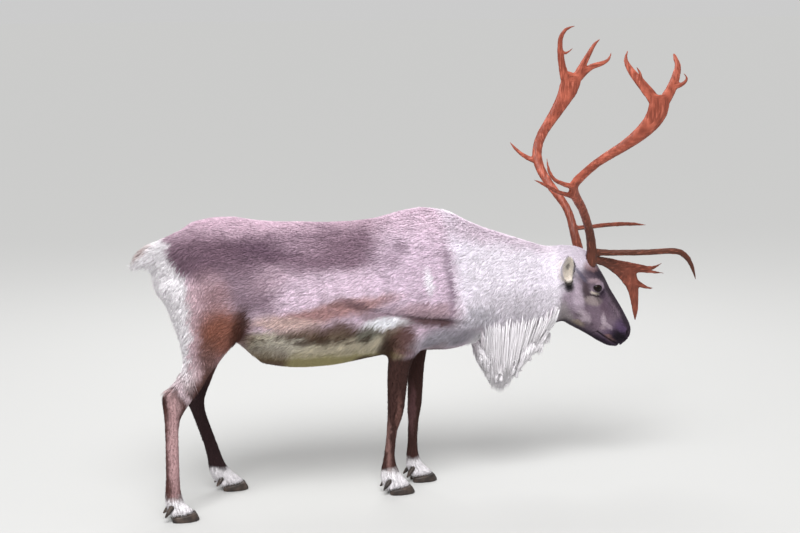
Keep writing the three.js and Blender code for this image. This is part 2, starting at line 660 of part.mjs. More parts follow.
// A flat, tapered lock of hair that leaves its root one way and hangs to its tip another
function makeLock(root, bend, tip, width, thick, flat) {
  const curve = new THREE.QuadraticBezierCurve3(root, bend, tip);
  const sizes = [[0, 0.8], [0.22, 1], [0.5, 0.95], [0.78, 0.6], [1, 0.07]];
  const rings = sizes.map(([t, share]) => {
    const tangent = curve.getTangent(t);
    const across = flat.clone().cross(tangent).normalize();
    const face = tangent.clone().cross(across).normalize();
    const middle = curve.getPoint(t);
    const [w, h] = [width / 2 * share, thick / 2 * (0.4 + 0.6 * share)];
    return [[w, 0], [0, h], [-w, 0], [0, -h]]
      .map(([side, lift]) => middle.clone().addScaledVector(across, side).addScaledVector(face, lift));
  });
  return solidOf(coverRings(rings));
}

// The beard: where hair rooted along the throat reaches to
const THROAT = [
  { root: 292, z: 604, tip: 316, low: 478 },
  { root: 330, z: 608, tip: 352, low: 398 },
  { root: 372, z: 612, tip: 396, low: 350 },
  { root: 415, z: 616, tip: 427, low: 338 },
  { root: 460, z: 619, tip: 468, low: 366 },
  { root: 505, z: 622, tip: 506, low: 428 },
  { root: 550, z: 627, tip: 547, low: 474 },
  { root: 595, z: 633, tip: 590, low: 514 },
  { root: 635, z: 642, tip: 622, low: 578 },
];
const BEARD_HALF = 66;        // half the beard's width where it is rooted
const BEARD_CORE = 0.45;      // share of the fall that the dense core reaches
const BEARD_ROWS = 4;
const BEARD_COLUMNS = 11;

// The dense core of the beard
function makeBeardCore() {
  const core = [
    { x: 300, low: 575, half: 42 }, { x: 345, low: 520, half: 54 }, { x: 395, low: 497, half: 58 },
    { x: 450, low: 500, half: 60 }, { x: 510, low: 535, half: 58 }, { x: 570, low: 568, half: 50 },
    { x: 628, low: 606, half: 34 },
  ];
  const rings = placesAlong(core, 'x', 60).map((x) => {
    const s = stationAt(core, 'x', x);
    return ovalRing(vector(x, 0, 660), LEFT, UP, { half: s.half, up: 30, down: 660 - s.low }, 10);
  });
  return solidOf(coverRings(rings));
}

// The locks of the beard, in rows from one side of the throat to the other
function makeBeard() {
  const locks = [makeBeardCore()];
  for (let row = 0; row < BEARD_ROWS; row += 1) {
    const out = (row + 0.5) / BEARD_ROWS * 2 - 1;
    for (let column = 0; column < BEARD_COLUMNS; column += 1) {
      const along = (column + 0.25 + 0.5 * (row % 2)) / BEARD_COLUMNS;
      const s = stationAt(THROAT, 'root', 292 + 338 * along);
      const edge = Math.abs(out);
      const fall = (s.z - s.low) * between(0.9, 1) * (1 - 0.16 * edge);
      const side = out * BEARD_HALF;
      const root = vector(s.root, side * 0.85, s.z + 26 + 22 * edge);
      const tip = vector(s.tip + between(-6, 6), side * 0.3 + between(-8, 8), s.z - fall);
      const bend = vector(s.root + 0.3 * (s.tip - s.root) + between(-4, 4), side * 1.15, s.z - 0.45 * fall);
      const flat = vector(between(-0.35, 0.35), Math.sign(out), 0.1);
      locks.push(makeLock(root, bend, tip, between(38, 46), 15, flat));
    }
  }
  return fuse(locks);
}

// The tail's hair, fanned from a core towards its point
const TAIL_LOCKS = 9;
function makeTailHair() {
  const locks = [];
  for (let i = 0; i < TAIL_LOCKS; i += 1) {
    const angle = 2 * Math.PI * (i + 0.5) / TAIL_LOCKS;
    const [side, lift] = [Math.cos(angle), Math.sin(angle)];
    const root = vector(-1002, side * 24, 990 + lift * 34);
    const bend = vector(-1040, side * 44, 986 + lift * 48);
    const tip = vector(-1068 - 8 * chance(), side * 10, 956 + lift * 6);
    locks.push(makeLock(root, bend, tip, 36, 12, vector(0, side, lift)));
  }
  return locks;
}

// Cloven hooves: two claws under a sloping crown, and two dewclaws behind the foot
const FEET = [
  { name: 'hind_right', stations: RIGHT_HIND, side: -1, toe: -862 },
  { name: 'hind_left', stations: LEFT_HIND, side: 1, toe: -612 },
  { name: 'fore_right', stations: RIGHT_FORE, side: -1, toe: 20 },
  { name: 'fore_left', stations: LEFT_FORE, side: 1, toe: 155 },
];
const CLAW = [
  { z: 0, front: 0, rear: -CLAW_LENGTH, half: CLAW_WIDTH / 2 },
  { z: 8, front: 1, rear: -CLAW_LENGTH - 1, half: CLAW_WIDTH / 2 + 0.5 },
  { z: 25, front: -8, rear: -CLAW_LENGTH + 2, half: CLAW_WIDTH / 2 - 1 },
  { z: 60, front: -34, rear: -CLAW_LENGTH + 6, half: CLAW_WIDTH / 2 - 3 },
];
const CROWN_FRONT = 34;      // height of the crown at the toe
const CROWN_REAR = 20;       // height of the crown at the heel
function crownBox(foot, upper) {
  const tilt = -Math.atan2(CROWN_FRONT - CROWN_REAR, CLAW_LENGTH);
  const gap = upper ? -GAP / 2 : GAP / 2;
  const half = 100;
  const middle = vector(foot.toe - CLAW_LENGTH / 2, 0, (CROWN_FRONT + CROWN_REAR) / 2);
  const normal = vector(Math.sin(tilt), 0, Math.cos(tilt));
  middle.addScaledVector(normal, (upper ? half : -half) + gap);
  return makeBox([600, 900, 2 * half], middle.toArray(), THREE.MathUtils.radToDeg(tilt));
}
function makeClaw(foot, inward) {
  const last = foot.stations[foot.stations.length - 1];
  const centre = foot.side * last.side + inward * (CLAW_WIDTH / 2 + 1.5);
  const rings = placesAlong(CLAW, 'z', 20).map((z) => {
    const s = stationAt(CLAW, 'z', z);
    const long = (s.front - s.rear) / 2;
    const middle = vector(foot.toe + (s.front + s.rear) / 2, centre, z);
    const ring = ovalRing(middle, LEFT, FORWARD, { half: s.half, up: long, down: long, square: 2.2 }, 12);
    return ring.map((p) => {
      const ahead = Math.max(0, (p.x - middle.x) / long);
      p.y -= inward * 9 * ahead * ahead;
      return p;
    });
  });
  return solidOf(coverRings(rings)).subtract(crownBox(foot, true));
}
function makeDewclaw(foot, inward, grow = 0) {
  const last = foot.stations[foot.stations.length - 1];
  const heel = foot.toe - CLAW_LENGTH;
  const from = vector(heel + 8, foot.side * last.side + inward * 15, 66);
  const to = vector(heel - 26, foot.side * last.side + inward * 30, 24);
  const along = to.clone().sub(from).normalize();
  const across = along.clone().cross(LEFT).normalize();
  const sizes = [[0, 13], [0.6, 11], [1, 4]];
  const rings = sizes.map(([t, radius], i) => {
    const end = (i === 0 ? -grow : 0) + (i === sizes.length - 1 ? grow : 0);
    const middle = from.clone().lerp(to, t).addScaledVector(along, end);
    const size = { half: radius + grow, up: radius * 0.8 + grow, down: radius * 0.8 + grow };
    return ovalRing(middle, LEFT, across, size, 8);
  });
  return solidOf(coverRings(rings));
}

// The flesh as a whole, and the thin cuts that part it
const NAPE = [607, 0, 790];   // middle of the cut behind the ears
const NAPE_TILT = -9.5;
const legSolids = FEET.map((foot) => makeLeg(foot.stations, foot.side).subtract(crownBox(foot, false)));
const whole = fuse([makeTrunk(), makeSkull(), ...legSolids]);
const SHOULDER_X = 252;       // where the white neck begins
const SHOULDER_TILT = -3;
const HIND_CUT = [-827, 0, 715];
const HIND_CUT_TILT = 31.6;   // the cut under the haunches rises to the rear
const FORE_CUT = [25, 0, 540];
const HOCKS = [[-950, -172, 430], [-820, 160, 420]];
const KNEES = [[-55, -84, 300], [70, 73, 296]];
const cuts = fuse([
  makeBox([GAP, 700, 800], [SHOULDER_X, 0, 850], SHOULDER_TILT),
  makeBox([GAP, 600, 560], NAPE, NAPE_TILT, HEAD_TURN),
  makeBox([405, 800, GAP], HIND_CUT, HIND_CUT_TILT),
  makeBox([262, 400, GAP], FORE_CUT),
  ...HOCKS.map((middle) => makeBox([180, 140, GAP], middle)),
  ...KNEES.map((middle) => makeBox([160, 100, GAP], middle)),
]);
const pieces = whole.subtract(cuts).decompose();

// The piece of flesh whose box is centred nearest to a point
function pieceNear(x, y, z) {
  const distance = (piece) => {
    const { min, max } = piece.boundingBox();
    return Math.hypot((min[0] + max[0]) / 2 - x, (min[1] + max[1]) / 2 - y, (min[2] + max[2]) / 2 - z);
  };
  return pieces.reduce((best, piece) => (distance(piece) < distance(best) ? piece : best));
}

// A soft tube through points, with a radius at each
function makeTube(points, radii, sides) {
  const curve = new THREE.CatmullRomCurve3(points, false, 'centripetal');
  const rings = radii.map((radius, i) => {
    const t = i / (radii.length - 1);
    const tangent = curve.getTangent(t);
    const across = tangent.clone().cross(offFace).normalize();
    const lift = across.clone().cross(tangent).normalize();
    return ovalRing(curve.getPoint(t), across, lift, { half: radius, up: radius, down: radius }, sides);
  });
  return solidOf(coverRings(rings));
}

// The line of the mouth from corner to corner, and the lips along it
const MOUTH = [
  { u: 303, v: -166 },
  { u: 338, v: -155 },
  { u: 378, v: -140 },
  { u: 410, v: -126 },
  { u: 434, v: -112 },
];
function mouthPoints(shift, inset) {
  const points = [];
  for (const side of [-1, 1]) {
    const half = MOUTH.map(({ u, v }) => headPoint(u, v + shift, side * (headHalf(u, v + shift) - inset)));
    points.push(...(side < 0 ? half : [headPoint(447 - inset, -104 + shift, 0), ...half.reverse()]));
  }
  return points;
}
const LIP_ABOVE = 5;          // distance of the upper lip from the line of the mouth
const LIP_BELOW = -6;         // distance of the lower lip
const LIP_INSET = 3.2;        // depth of the lips' middle under the skin
const LIP_SIDES = 4;
const LIP_RADII = [1.5, 4, 5, 5, 5, 5, 5, 4, 1.5];
const MOUTH_RADII = [0.8, 1.9, 2.2, 2.3, 2.3, 2.3, 2.2, 1.9, 0.8];

// A nostril: a slanting hollow in the side of the muzzle
const NOSTRIL = { u: 398, v: -70, size: [14, 7, 9], slant: -35 };
function makeNostril(side) {
  const ball = new THREE.SphereGeometry(1, 8, 6);
  const turn = new THREE.Matrix4().makeBasis(alongFace, offFace, sideways)
    .multiply(new THREE.Matrix4().makeRotationZ(radians(NOSTRIL.slant)))
    .multiply(new THREE.Matrix4().makeScale(...NOSTRIL.size));
  const out = headHalf(NOSTRIL.u, NOSTRIL.v);
  return solidOf(ball, turn.setPosition(headPoint(NOSTRIL.u, NOSTRIL.v, side * out)));
}

let head = pieceNear(800, 30, 800);
const lips = [LIP_ABOVE, LIP_BELOW]
  .map((shift) => makeTube(mouthPoints(shift, LIP_INSET), LIP_RADII, LIP_SIDES));
head = fuse([head, ...lips]).subtract(makeTube(mouthPoints(0, 0), MOUTH_RADII, LIP_SIDES));
for (const side of [-1, 1]) {
  const word = side < 0 ? 'right' : 'left';
  head = head.subtract(makeNostril(side)).add(makeLids(side));
  head = head.subtract(makeEye(side, GAP)).subtract(makeEar(side, GAP));
  keep(`eye_${word}`, makeEye(side), 'eye');
  keep(`ear_${word}`, makeEar(side), 'coat_face');
}
const beforeNape = makeBox([400, 600, 760], [NAPE[0] + 199, 28, NAPE[2]], NAPE_TILT, HEAD_TURN);
keep('neck', pieceNear(430, 0, 800).add(makeBeard().subtract(beforeNape)), 'coat_white');
keep('torso', pieceNear(-370, 0, 830).subtract(makeTail(GAP)), 'coat_grey');
keep('tail', fuse([makeTail(), ...makeTailHair()]), 'coat_white');

// Legs, hooves and dewclaws
const LEG_MIDDLES = {
  hind_right: [[-810, -150, 600], [-940, -185, 230]],
  hind_left: [[-760, 150, 600], [-720, 165, 230]],
  fore_right: [[-40, -90, 420], [-50, -82, 165]],
  fore_left: [[85, 80, 420], [90, 68, 165]],
};
for (const foot of FEET) {
  const [upper, lower] = LEG_MIDDLES[foot.name];
  let shank = pieceNear(...lower);
  for (const inward of [-1, 1]) {
    const word = inward * foot.side < 0 ? 'inner' : 'outer';
    shank = shank.subtract(makeDewclaw(foot, inward, GAP));
    keep(`hoof_${foot.name}_${word}`, makeClaw(foot, inward), 'hoof');
    keep(`dewclaw_${foot.name}_${word}`, makeDewclaw(foot, inward), 'hoof');
  }
  keep(`leg_${foot.name}_upper`, pieceNear(...upper), 'coat_leg');
  keep(`leg_${foot.name}_lower`, shank, 'coat_leg');
}

// Antlers: the beam is cut at its forks, and each tine ends on the beam's surface
function placeOf(row) {
  return poll.clone().addScaledVector(facing, row[0]).addScaledVector(sideways, row[1])
    .addScaledVector(UP, row[2]);
}
function beamCut(rows, index, radius) {
  const direction = placeOf(rows[index + 1]).sub(placeOf(rows[index - 1]));
  return cutDisc(placeOf(rows[index]), direction, radius);
}
function makeAntler(word, plan, forks, tines) {
  const beam = makeTine(plan.beam);
  const thick = makeTine(plan.beam, GAP);
  const parts = beam.subtract(fuse(forks.map(([index, radius]) => beamCut(plan.beam, index, radius))))
    .decompose();
  parts.sort((a, b) => a.boundingBox().min[2] - b.boundingBox().min[2]);
  ['beam', 'branch', 'palm'].forEach((name, i) => keep(`antler_${word}_${name}`, parts[i], 'antler'));
  let taken = thick;
  for (const [name, joined] of Object.entries(tines)) {
    const rows = [name, ...joined].map((part) => plan[part]);
    keep(`antler_${word}_${name}`, fuse(rows.map((row) => makeTine(row))).subtract(taken), 'antler');
    taken = taken.add(fuse(rows.map((row) => makeTine(row, GAP))));
  }
  return taken;
}
const rightAntler = makeAntler('right', RIGHT_ANTLER, [[8, 60], [12, 70]], {
  bez: [],
  brow: ['brow_upper', 'brow_middle', 'brow_lower'],
  tine_a: [],
  tine_b: [],
  front_prong: ['front_snag'],
  rear_prong: ['rear_snag'],
});
const leftAntler = makeAntler('left', LEFT_ANTLER, [[8, 60], [13, 70]], {
  bez: [],
  brow: [],
  tine: [],
  front_prong: [],
  middle_prong: [],
  rear_prong: ['rear_snag'],
});
keep('head', head.subtract(rightAntler).subtract(leftAntler), 'coat_face');

// Meshes, set so that the middle of the model's footprint is the origin
function meshOf(name, { solid, look }) {
  const { vertProperties, triVerts } = solid.getMesh();
  const geometry = new THREE.BufferGeometry();
  geometry.setAttribute('position', new THREE.Float32BufferAttribute(vertProperties, 3));
  geometry.setIndex(Array.from(triVerts));
  geometry.computeVertexNormals();
  const mesh = new THREE.Mesh(geometry, new THREE.MeshStandardMaterial({ ...LOOKS[look], metalness: 0 }));
  mesh.name = name;
  return mesh;
}
for (const [name, node] of nodes) {
  group.add(meshOf(name, node));
}
const bounds = new THREE.Box3().setFromObject(group);
group.position.set(-(bounds.min.x + bounds.max.x) / 2, -(bounds.min.y + bounds.max.y) / 2, -bounds.min.z);
group.updateMatrixWorld(true);

export default group;
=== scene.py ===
# A standing reindeer bull with its coat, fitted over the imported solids
# Metres: X runs forward to the nose, Y to the animal's left and Z up from the floor
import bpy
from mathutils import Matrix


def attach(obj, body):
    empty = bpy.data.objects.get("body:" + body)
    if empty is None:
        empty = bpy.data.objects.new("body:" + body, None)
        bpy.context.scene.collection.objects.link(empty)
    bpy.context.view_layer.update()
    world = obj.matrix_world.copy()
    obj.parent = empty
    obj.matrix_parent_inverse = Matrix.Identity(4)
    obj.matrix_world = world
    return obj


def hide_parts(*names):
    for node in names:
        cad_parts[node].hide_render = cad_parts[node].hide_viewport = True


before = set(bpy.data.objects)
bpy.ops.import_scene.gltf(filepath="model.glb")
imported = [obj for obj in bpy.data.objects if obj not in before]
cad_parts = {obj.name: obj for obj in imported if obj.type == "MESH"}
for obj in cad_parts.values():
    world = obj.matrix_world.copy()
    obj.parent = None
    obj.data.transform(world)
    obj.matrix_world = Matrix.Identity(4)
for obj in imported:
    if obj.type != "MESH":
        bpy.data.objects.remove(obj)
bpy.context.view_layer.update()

import math

import bpy
import numpy as np
from mathutils import Matrix, Vector
from mathutils.kdtree import KDTree

# Driving dimensions
POLL = np.array([0.685, -0.0085, 0.935])  # top of the head
HEAD_TURN = math.radians(8)
HEAD_TILT = math.radians(52)
HEAD_START = 0.56
LEG_TOP = 0.6
EYE = {"u": 0.125, "v": -0.076, "out": 0.082, "radius": 0.021}
EYE_RUN = (0.8, 0.6)  # direction of the eye's length on the side of the face
LIDS = (0.0205, 0.015)  # half length and half height of the dark skin round the eye
NOSTRIL = (0.398, -0.07)
NOSTRIL_RUN = (0.82, 0.57)
# The mouth, by distance down the face and out from it
MOUTH_LINE = [(0.296, -0.168), (0.303, -0.166), (0.338, -0.155), (0.378, -0.14), (0.41, -0.126),
              (0.434, -0.112), (0.45, -0.104)]
EAR_ROOT = (0.021, -0.159, 0.088)
EAR_TIP = (-0.101, -0.113, 0.148)
EAR_WIDE = 0.031
EAR_SPREAD = 1.12
EAR_TURN = math.radians(26)  # how far the cup is turned out to the side
EAR_OUTLINE = ([0, 0.12, 0.3, 0.5, 0.7, 0.88, 1], [0.3, 0.42, 0.84, 1, 0.9, 0.56, 0.12])
# Place along the neck, height of the throat there, place of the beard's tip and its height
THROAT = np.array([
    [0.208, 0.604, 0.236, 0.545], [0.246, 0.608, 0.268, 0.448], [0.288, 0.612, 0.301, 0.368],
    [0.331, 0.616, 0.328, 0.348], [0.376, 0.619, 0.354, 0.372], [0.421, 0.622, 0.388, 0.432],
    [0.466, 0.627, 0.428, 0.494], [0.511, 0.633, 0.47, 0.546], [0.551, 0.642, 0.52, 0.6],
])
BEARD_LOCKS = 12000
BLADE_DEPTH = 0.3  # thickness of a tuft, as a share of its width
LIE_SPREAD = 0.16
SKIN_VOXEL = 0.0055
EAR_VOXEL = 0.0028
ANTLER_VOXEL = 0.0034
HOOF_VOXEL = 0.0036
DEWCLAW_VOXEL = 0.0022
SKIN_FACES = 176000
CAMERA_PLACE = np.array([-1.74, -6.1605, 1.9])
CAMERA_AIM = np.array([-0.084, 0.0215, 0.9])
CAMERA_ROLL = math.radians(0.5)
FOCAL_LENGTH = 72.87
SENSOR_WIDTH = 36
FLOOR_SIZE = 900
SKY_LIGHT = 0.6

rng = np.random.default_rng(20)

# The head's own directions: down the face, out from it and to the left
FACING = np.array([math.cos(HEAD_TURN), math.sin(HEAD_TURN), 0])
SIDEWAYS = np.array([-math.sin(HEAD_TURN), math.cos(HEAD_TURN), 0])
UPWARD = np.array([0.0, 0.0, 1.0])
ALONG_FACE = FACING * math.cos(HEAD_TILT) - UPWARD * math.sin(HEAD_TILT)
OFF_FACE = FACING * math.sin(HEAD_TILT) + UPWARD * math.cos(HEAD_TILT)


def head_place(points):
    """The head's own three distances for each point."""
    away = points - POLL
    return away @ ALONG_FACE, away @ OFF_FACE, away @ SIDEWAYS


def head_point(u, v, w):
    return POLL + u * ALONG_FACE + v * OFF_FACE + w * SIDEWAYS


def ramp(value, start, end):
    """A smooth step from 0 at start to 1 at end."""
    t = np.clip((value - start) / (end - start), 0, 1)
    return t * t * (3 - 2 * t)


def unit(vectors):
    return vectors / np.maximum(np.linalg.norm(vectors, axis=-1, keepdims=True), 1e-12)


def sway(points, size, phase):
    """A smooth, wandering number between about -1 and 1 at each point."""
    p = points / size
    total = np.sin(p[:, 0] * 2.1 + p[:, 1] * 1.3 + phase)
    total += np.sin(p[:, 1] * 2.7 - p[:, 2] * 1.9 + phase * 1.7)
    total += np.sin(p[:, 2] * 2.3 + p[:, 0] * 1.1 - phase * 0.6)
    return total / 2.2


# Meshes from and to arrays
def clear_selection():
    bpy.ops.object.select_all(action="DESELECT")


def take_hold(piece):
    clear_selection()
    piece.select_set(True)
    bpy.context.view_layer.objects.active = piece


def new_piece(name, points, faces):
    """An object at the origin from points and faces of one corner count."""
    mesh = bpy.data.meshes.new(name)
    corners = faces.shape[1]
    mesh.vertices.add(len(points))
    mesh.vertices.foreach_set("co", points.astype(np.float32).ravel())
    mesh.loops.add(faces.size)
    mesh.loops.foreach_set("vertex_index", faces.astype(np.int32).ravel())
    mesh.polygons.add(len(faces))
    mesh.polygons.foreach_set("loop_start", np.arange(0, faces.size, corners, dtype=np.int32))
    mesh.polygons.foreach_set("use_smooth", np.full(len(faces), True))
    mesh.update(calc_edges=True)
    piece = bpy.data.objects.new(name, mesh)
    bpy.context.scene.collection.objects.link(piece)
    return piece


def read(items, field, width, kind):
    """One row of numbers for each item."""
    numbers = np.zeros(len(items) * width, kind)
    items.foreach_get(field, numbers)
    return numbers.reshape(-1, width)


def points_of(piece):
    return read(piece.data.vertices, "co", 3, np.float32).astype(float)


def set_points(piece, points):
    piece.data.vertices.foreach_set("co", points.astype(np.float32).ravel())
    piece.data.update()


def normals_of(piece):
    return read(piece.data.vertex_normals, "vector", 3, np.float32).astype(float)


def edges_of(piece):
    return read(piece.data.edges, "vertices", 2, np.int32)


def triangles_of(piece):
    piece.data.calc_loop_triangles()
    return read(piece.data.loop_triangles, "vertices", 3, np.int32)


def copy_nodes(name, nodes, swell=0.0):
    """One merged mesh of several solids, each swollen a little so that neighbours meet."""
    all_points = []
    all_faces = []
    count = 0
    for node in nodes:
        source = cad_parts[node]
        points, index = np.unique(np.round(points_of(source), 6), axis=0, return_inverse=True)
        faces = index.reshape(-1)[triangles_of(source)]
        if swell:
            a, b, c = (points[faces[:, i]] for i in range(3))
            tilt = np.cross(b - a, c - a)
            lean = np.zeros_like(points)
            for i in range(3):
                np.add.at(lean, faces[:, i], tilt)
            points = points + unit(lean) * swell
        all_points.append(points)
        all_faces.append(faces + count)
        count += len(points)
    return new_piece(name, np.concatenate(all_points), np.concatenate(all_faces))


def apply_modifier(piece, kind, **settings):
    take_hold(piece)
    modifier = piece.modifiers.new("shape", kind)
    for key, value in settings.items():
        setattr(modifier, key, value)
    bpy.ops.object.modifier_apply(modifier="shape")


def remesh(piece, voxel):
    apply_modifier(piece, "REMESH", mode="VOXEL", voxel_size=voxel, use_smooth_shade=True)


def soften(piece, rounds, weight):
    """Evens out a surface by moving each point towards the middle of its neighbours."""
    points = points_of(piece)
    edges = edges_of(piece)
    count = np.bincount(edges.ravel(), minlength=len(points))[:, None]
    share = 0.5 * np.reshape(weight, (-1, 1))
    for _ in range(rounds):
        total = np.empty_like(points)
        for axis in range(3):
            values = points[:, axis]
            total[:, axis] = np.bincount(edges[:, 0], values[edges[:, 1]], len(points))
            total[:, axis] += np.bincount(edges[:, 1], values[edges[:, 0]], len(points))
        points += share * (total / count - points)
    set_points(piece, points)


def add_ball(place, radius, segments, rings):
    """A ball whose object stays at the origin."""
    clear_selection()
    bpy.ops.mesh.primitive_uv_sphere_add(segments=segments, ring_count=rings, radius=radius, location=place)
    bpy.ops.object.transform_apply(location=True, rotation=True, scale=True)
    return bpy.context.object


def add_values(piece, values):
    """Numbers at each point, for the piece's material."""
    for name, numbers in values.items():
        layer = piece.data.attributes.new(name, "FLOAT", "POINT")
        layer.data.foreach_set("value", numbers.astype(np.float32))


def settle(piece, material, nodes):
    """Gives a piece its material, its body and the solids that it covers."""
    piece.data.materials.append(material)
    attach(piece, "root")
    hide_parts(*nodes)


# Shaders: arithmetic on sockets, and one method for every other node
class Value:
    """A socket of a shader. Arithmetic on it adds Math nodes."""

    def __init__(self, shader, socket):
        self.shader = shader
        self.socket = socket

    def math(self, operation, first, second):
        return self.shader.node("ShaderNodeMath", {"operation": operation}, {0: first, 1: second})

    def __add__(self, other):
        return self.math("ADD", self, other)

    def __sub__(self, other):
        return self.math("SUBTRACT", self, other)

    def __rsub__(self, other):
        return self.math("SUBTRACT", other, self)

    def __mul__(self, other):
        return self.math("MULTIPLY", self, other)

    __radd__ = __add__


class Shader:
    """A material's nodes, ending in one surface shader, with the place and the colour so far."""

    def __init__(self, name, roughness, specular):
        self.material = bpy.data.materials.new(name)
        self.material.use_nodes = True
        self.tree = self.material.node_tree
        self.surface = self.tree.nodes["Principled BSDF"]
        self.here = None
        self.painted = None
        self.put(self.surface.inputs["Roughness"], roughness)
        self.put(self.surface.inputs["Specular IOR Level"], specular)

    def put(self, socket, value):
        if isinstance(value, Value):
            self.tree.links.new(value.socket, socket)
        elif socket.type == "RGBA":
            socket.default_value = (*value, 1)
        else:
            socket.default_value = value

    def node(self, kind, settings=None, inputs=None, output=0):
        made = self.tree.nodes.new(kind)
        for key, value in (settings or {}).items():
            setattr(made, key, value)
        for key, value in (inputs or {}).items():
            self.put(made.inputs[key], value)
        return Value(self, made.outputs[output])

    def place(self):
        return self.node("ShaderNodeTexCoord", output="Object")

    def attribute(self, name, output="Fac"):
        return self.node("ShaderNodeAttribute", {"attribute_name": name}, output=output)

    def along(self, direction, start=(0, 0, 0)):
        """Distance along a direction from a starting point."""
        away = self.node("ShaderNodeVectorMath", {"operation": "SUBTRACT"}, {0: self.here, 1: tuple(start)})
        return self.dot(away, direction)

    def dot(self, vector, direction):
        settings = {"operation": "DOT_PRODUCT"}
        return self.node("ShaderNodeVectorMath", settings, {0: vector, 1: tuple(direction)}, "Value")

    def step(self, value, start, end, most=1.0):
        """A smooth step from 0 at start to the most at end, either way round."""
        low, high = (0.0, most) if start < end else (most, 0.0)
        limits = {1: min(start, end), 2: max(start, end), 3: low, 4: high}
        return self.node("ShaderNodeMapRange", {"interpolation_type": "SMOOTHSTEP"}, {0: value, **limits})

    def noise(self, scale, detail, stretch=None):
        """Noise centred on 0, finer or coarser along each direction."""
        vector = self.here
        if stretch:
            vector = self.node("ShaderNodeVectorMath", {"operation": "MULTIPLY"}, {0: vector, 1: stretch})
        made = self.node("ShaderNodeTexNoise", {}, {"Vector": vector, "Scale": scale, "Detail": detail})
        return made - 0.5

    def mix(self, share, first, second, blend="MIX"):
        made = self.tree.nodes.new("ShaderNodeMix")
        made.data_type = "RGBA"
        made.blend_type = blend
        self.put(made.inputs[0], share)
        self.put(made.inputs[6], first)
        self.put(made.inputs[7], second)
        return Value(self, made.outputs[2])

    def plane(self, across, up):
        """A flat place made of two distances, with 1 as its third number."""
        return self.node("ShaderNodeCombineXYZ", {}, {0: across, 1: up, 2: 1.0})

    def paint(self, share, colour):
        """Lays a colour over what is painted so far."""
        self.painted = self.mix(share, self.painted, colour)

    def patches(self, plane, rows, share=1.0):
        """Soft ovals of colour, each at a place, with two half sizes, a tilt, a softness and a share."""
        under = self.painted
        for across, up, long, short, tilt, soft, strength, shade in rows:
            turn = math.radians(tilt)
            middle = np.array([across, up])
            length = np.array([math.cos(turn), math.sin(turn)]) / long
            width = np.array([-math.sin(turn), math.cos(turn)]) / short
            a = self.dot(plane, (*length, -length @ middle))
            b = self.dot(plane, (*width, -width @ middle))
            reach = self.node("ShaderNodeMath", {"operation": "MULTIPLY_ADD"}, {0: a, 1: a, 2: b * b})
            self.paint(self.step(reach, (1 + soft) ** 2, (1 - soft) ** 2, strength), tint(*shade))
        self.painted = self.mix(share, under, self.painted)

    def bump(self, height, strength, distance):
        inputs = {"Strength": strength, "Distance": distance, "Height": height}
        self.put(self.surface.inputs["Normal"], self.node("ShaderNodeBump", {}, inputs))

    def colour(self, value):
        self.put(self.surface.inputs["Base Color"], value)


def tint(*parts):
    """A colour from its everyday 0 to 255 values."""
    shares = [part / 255 for part in parts]
    return tuple(((c + 0.055) / 1.055) ** 2.4 if c > 0.0404 else c / 12.92 for c in shares)


# Colours of the coat
BACK = tint(152, 126, 142)
# Painted sheen along the top of the back
BACK_TOP_SHEEN = tint(228, 200, 216)
FLANK = tint(224, 202, 218)
SHOULDER = tint(226, 204, 220)
SPECKLE = tint(112, 88, 104)
BELLY = tint(214, 204, 182)
# Painted shade, tinted olive as a painted reflection of grass, low on the belly
BELLY_UNDER_SHADE = tint(172, 162, 116)
BELLY_BROWN = tint(66, 44, 30)
WHITE = tint(252, 248, 252)
MANE = tint(250, 243, 253)
RUMP_MIX = tint(214, 188, 196)
TAIL_TOP = tint(150, 112, 104)
LEG = tint(84, 54, 50)
# Painted shade on the far hind legs
FAR_LEG_SHADE = tint(50, 33, 35)
FORE_LEG = tint(66, 42, 38)
POLL_HAIR = tint(222, 212, 224)
CHEEK = tint(164, 148, 162)
FACE = tint(122, 104, 118)
FACE_DARK = tint(60, 48, 62)
FACE_RIDGE = tint(44, 34, 42)
MUZZLE = tint(92, 74, 98)
# Painted shade under the jaw
JAW_UNDER_SHADE = tint(168, 162, 160)
EAR_INSIDE = tint(248, 238, 226)
EAR_BACK = tint(214, 206, 218)
DARK = tint(30, 22, 26)
# Broad, patchy, streaky and fine noise: scale, detail and stretch
COAT_NOISES = [(5.5, 3.0), (17.0, 3.0), (45.0, 2.0, (0.4, 1.0, 1.6)), (150.0, 1.0)]

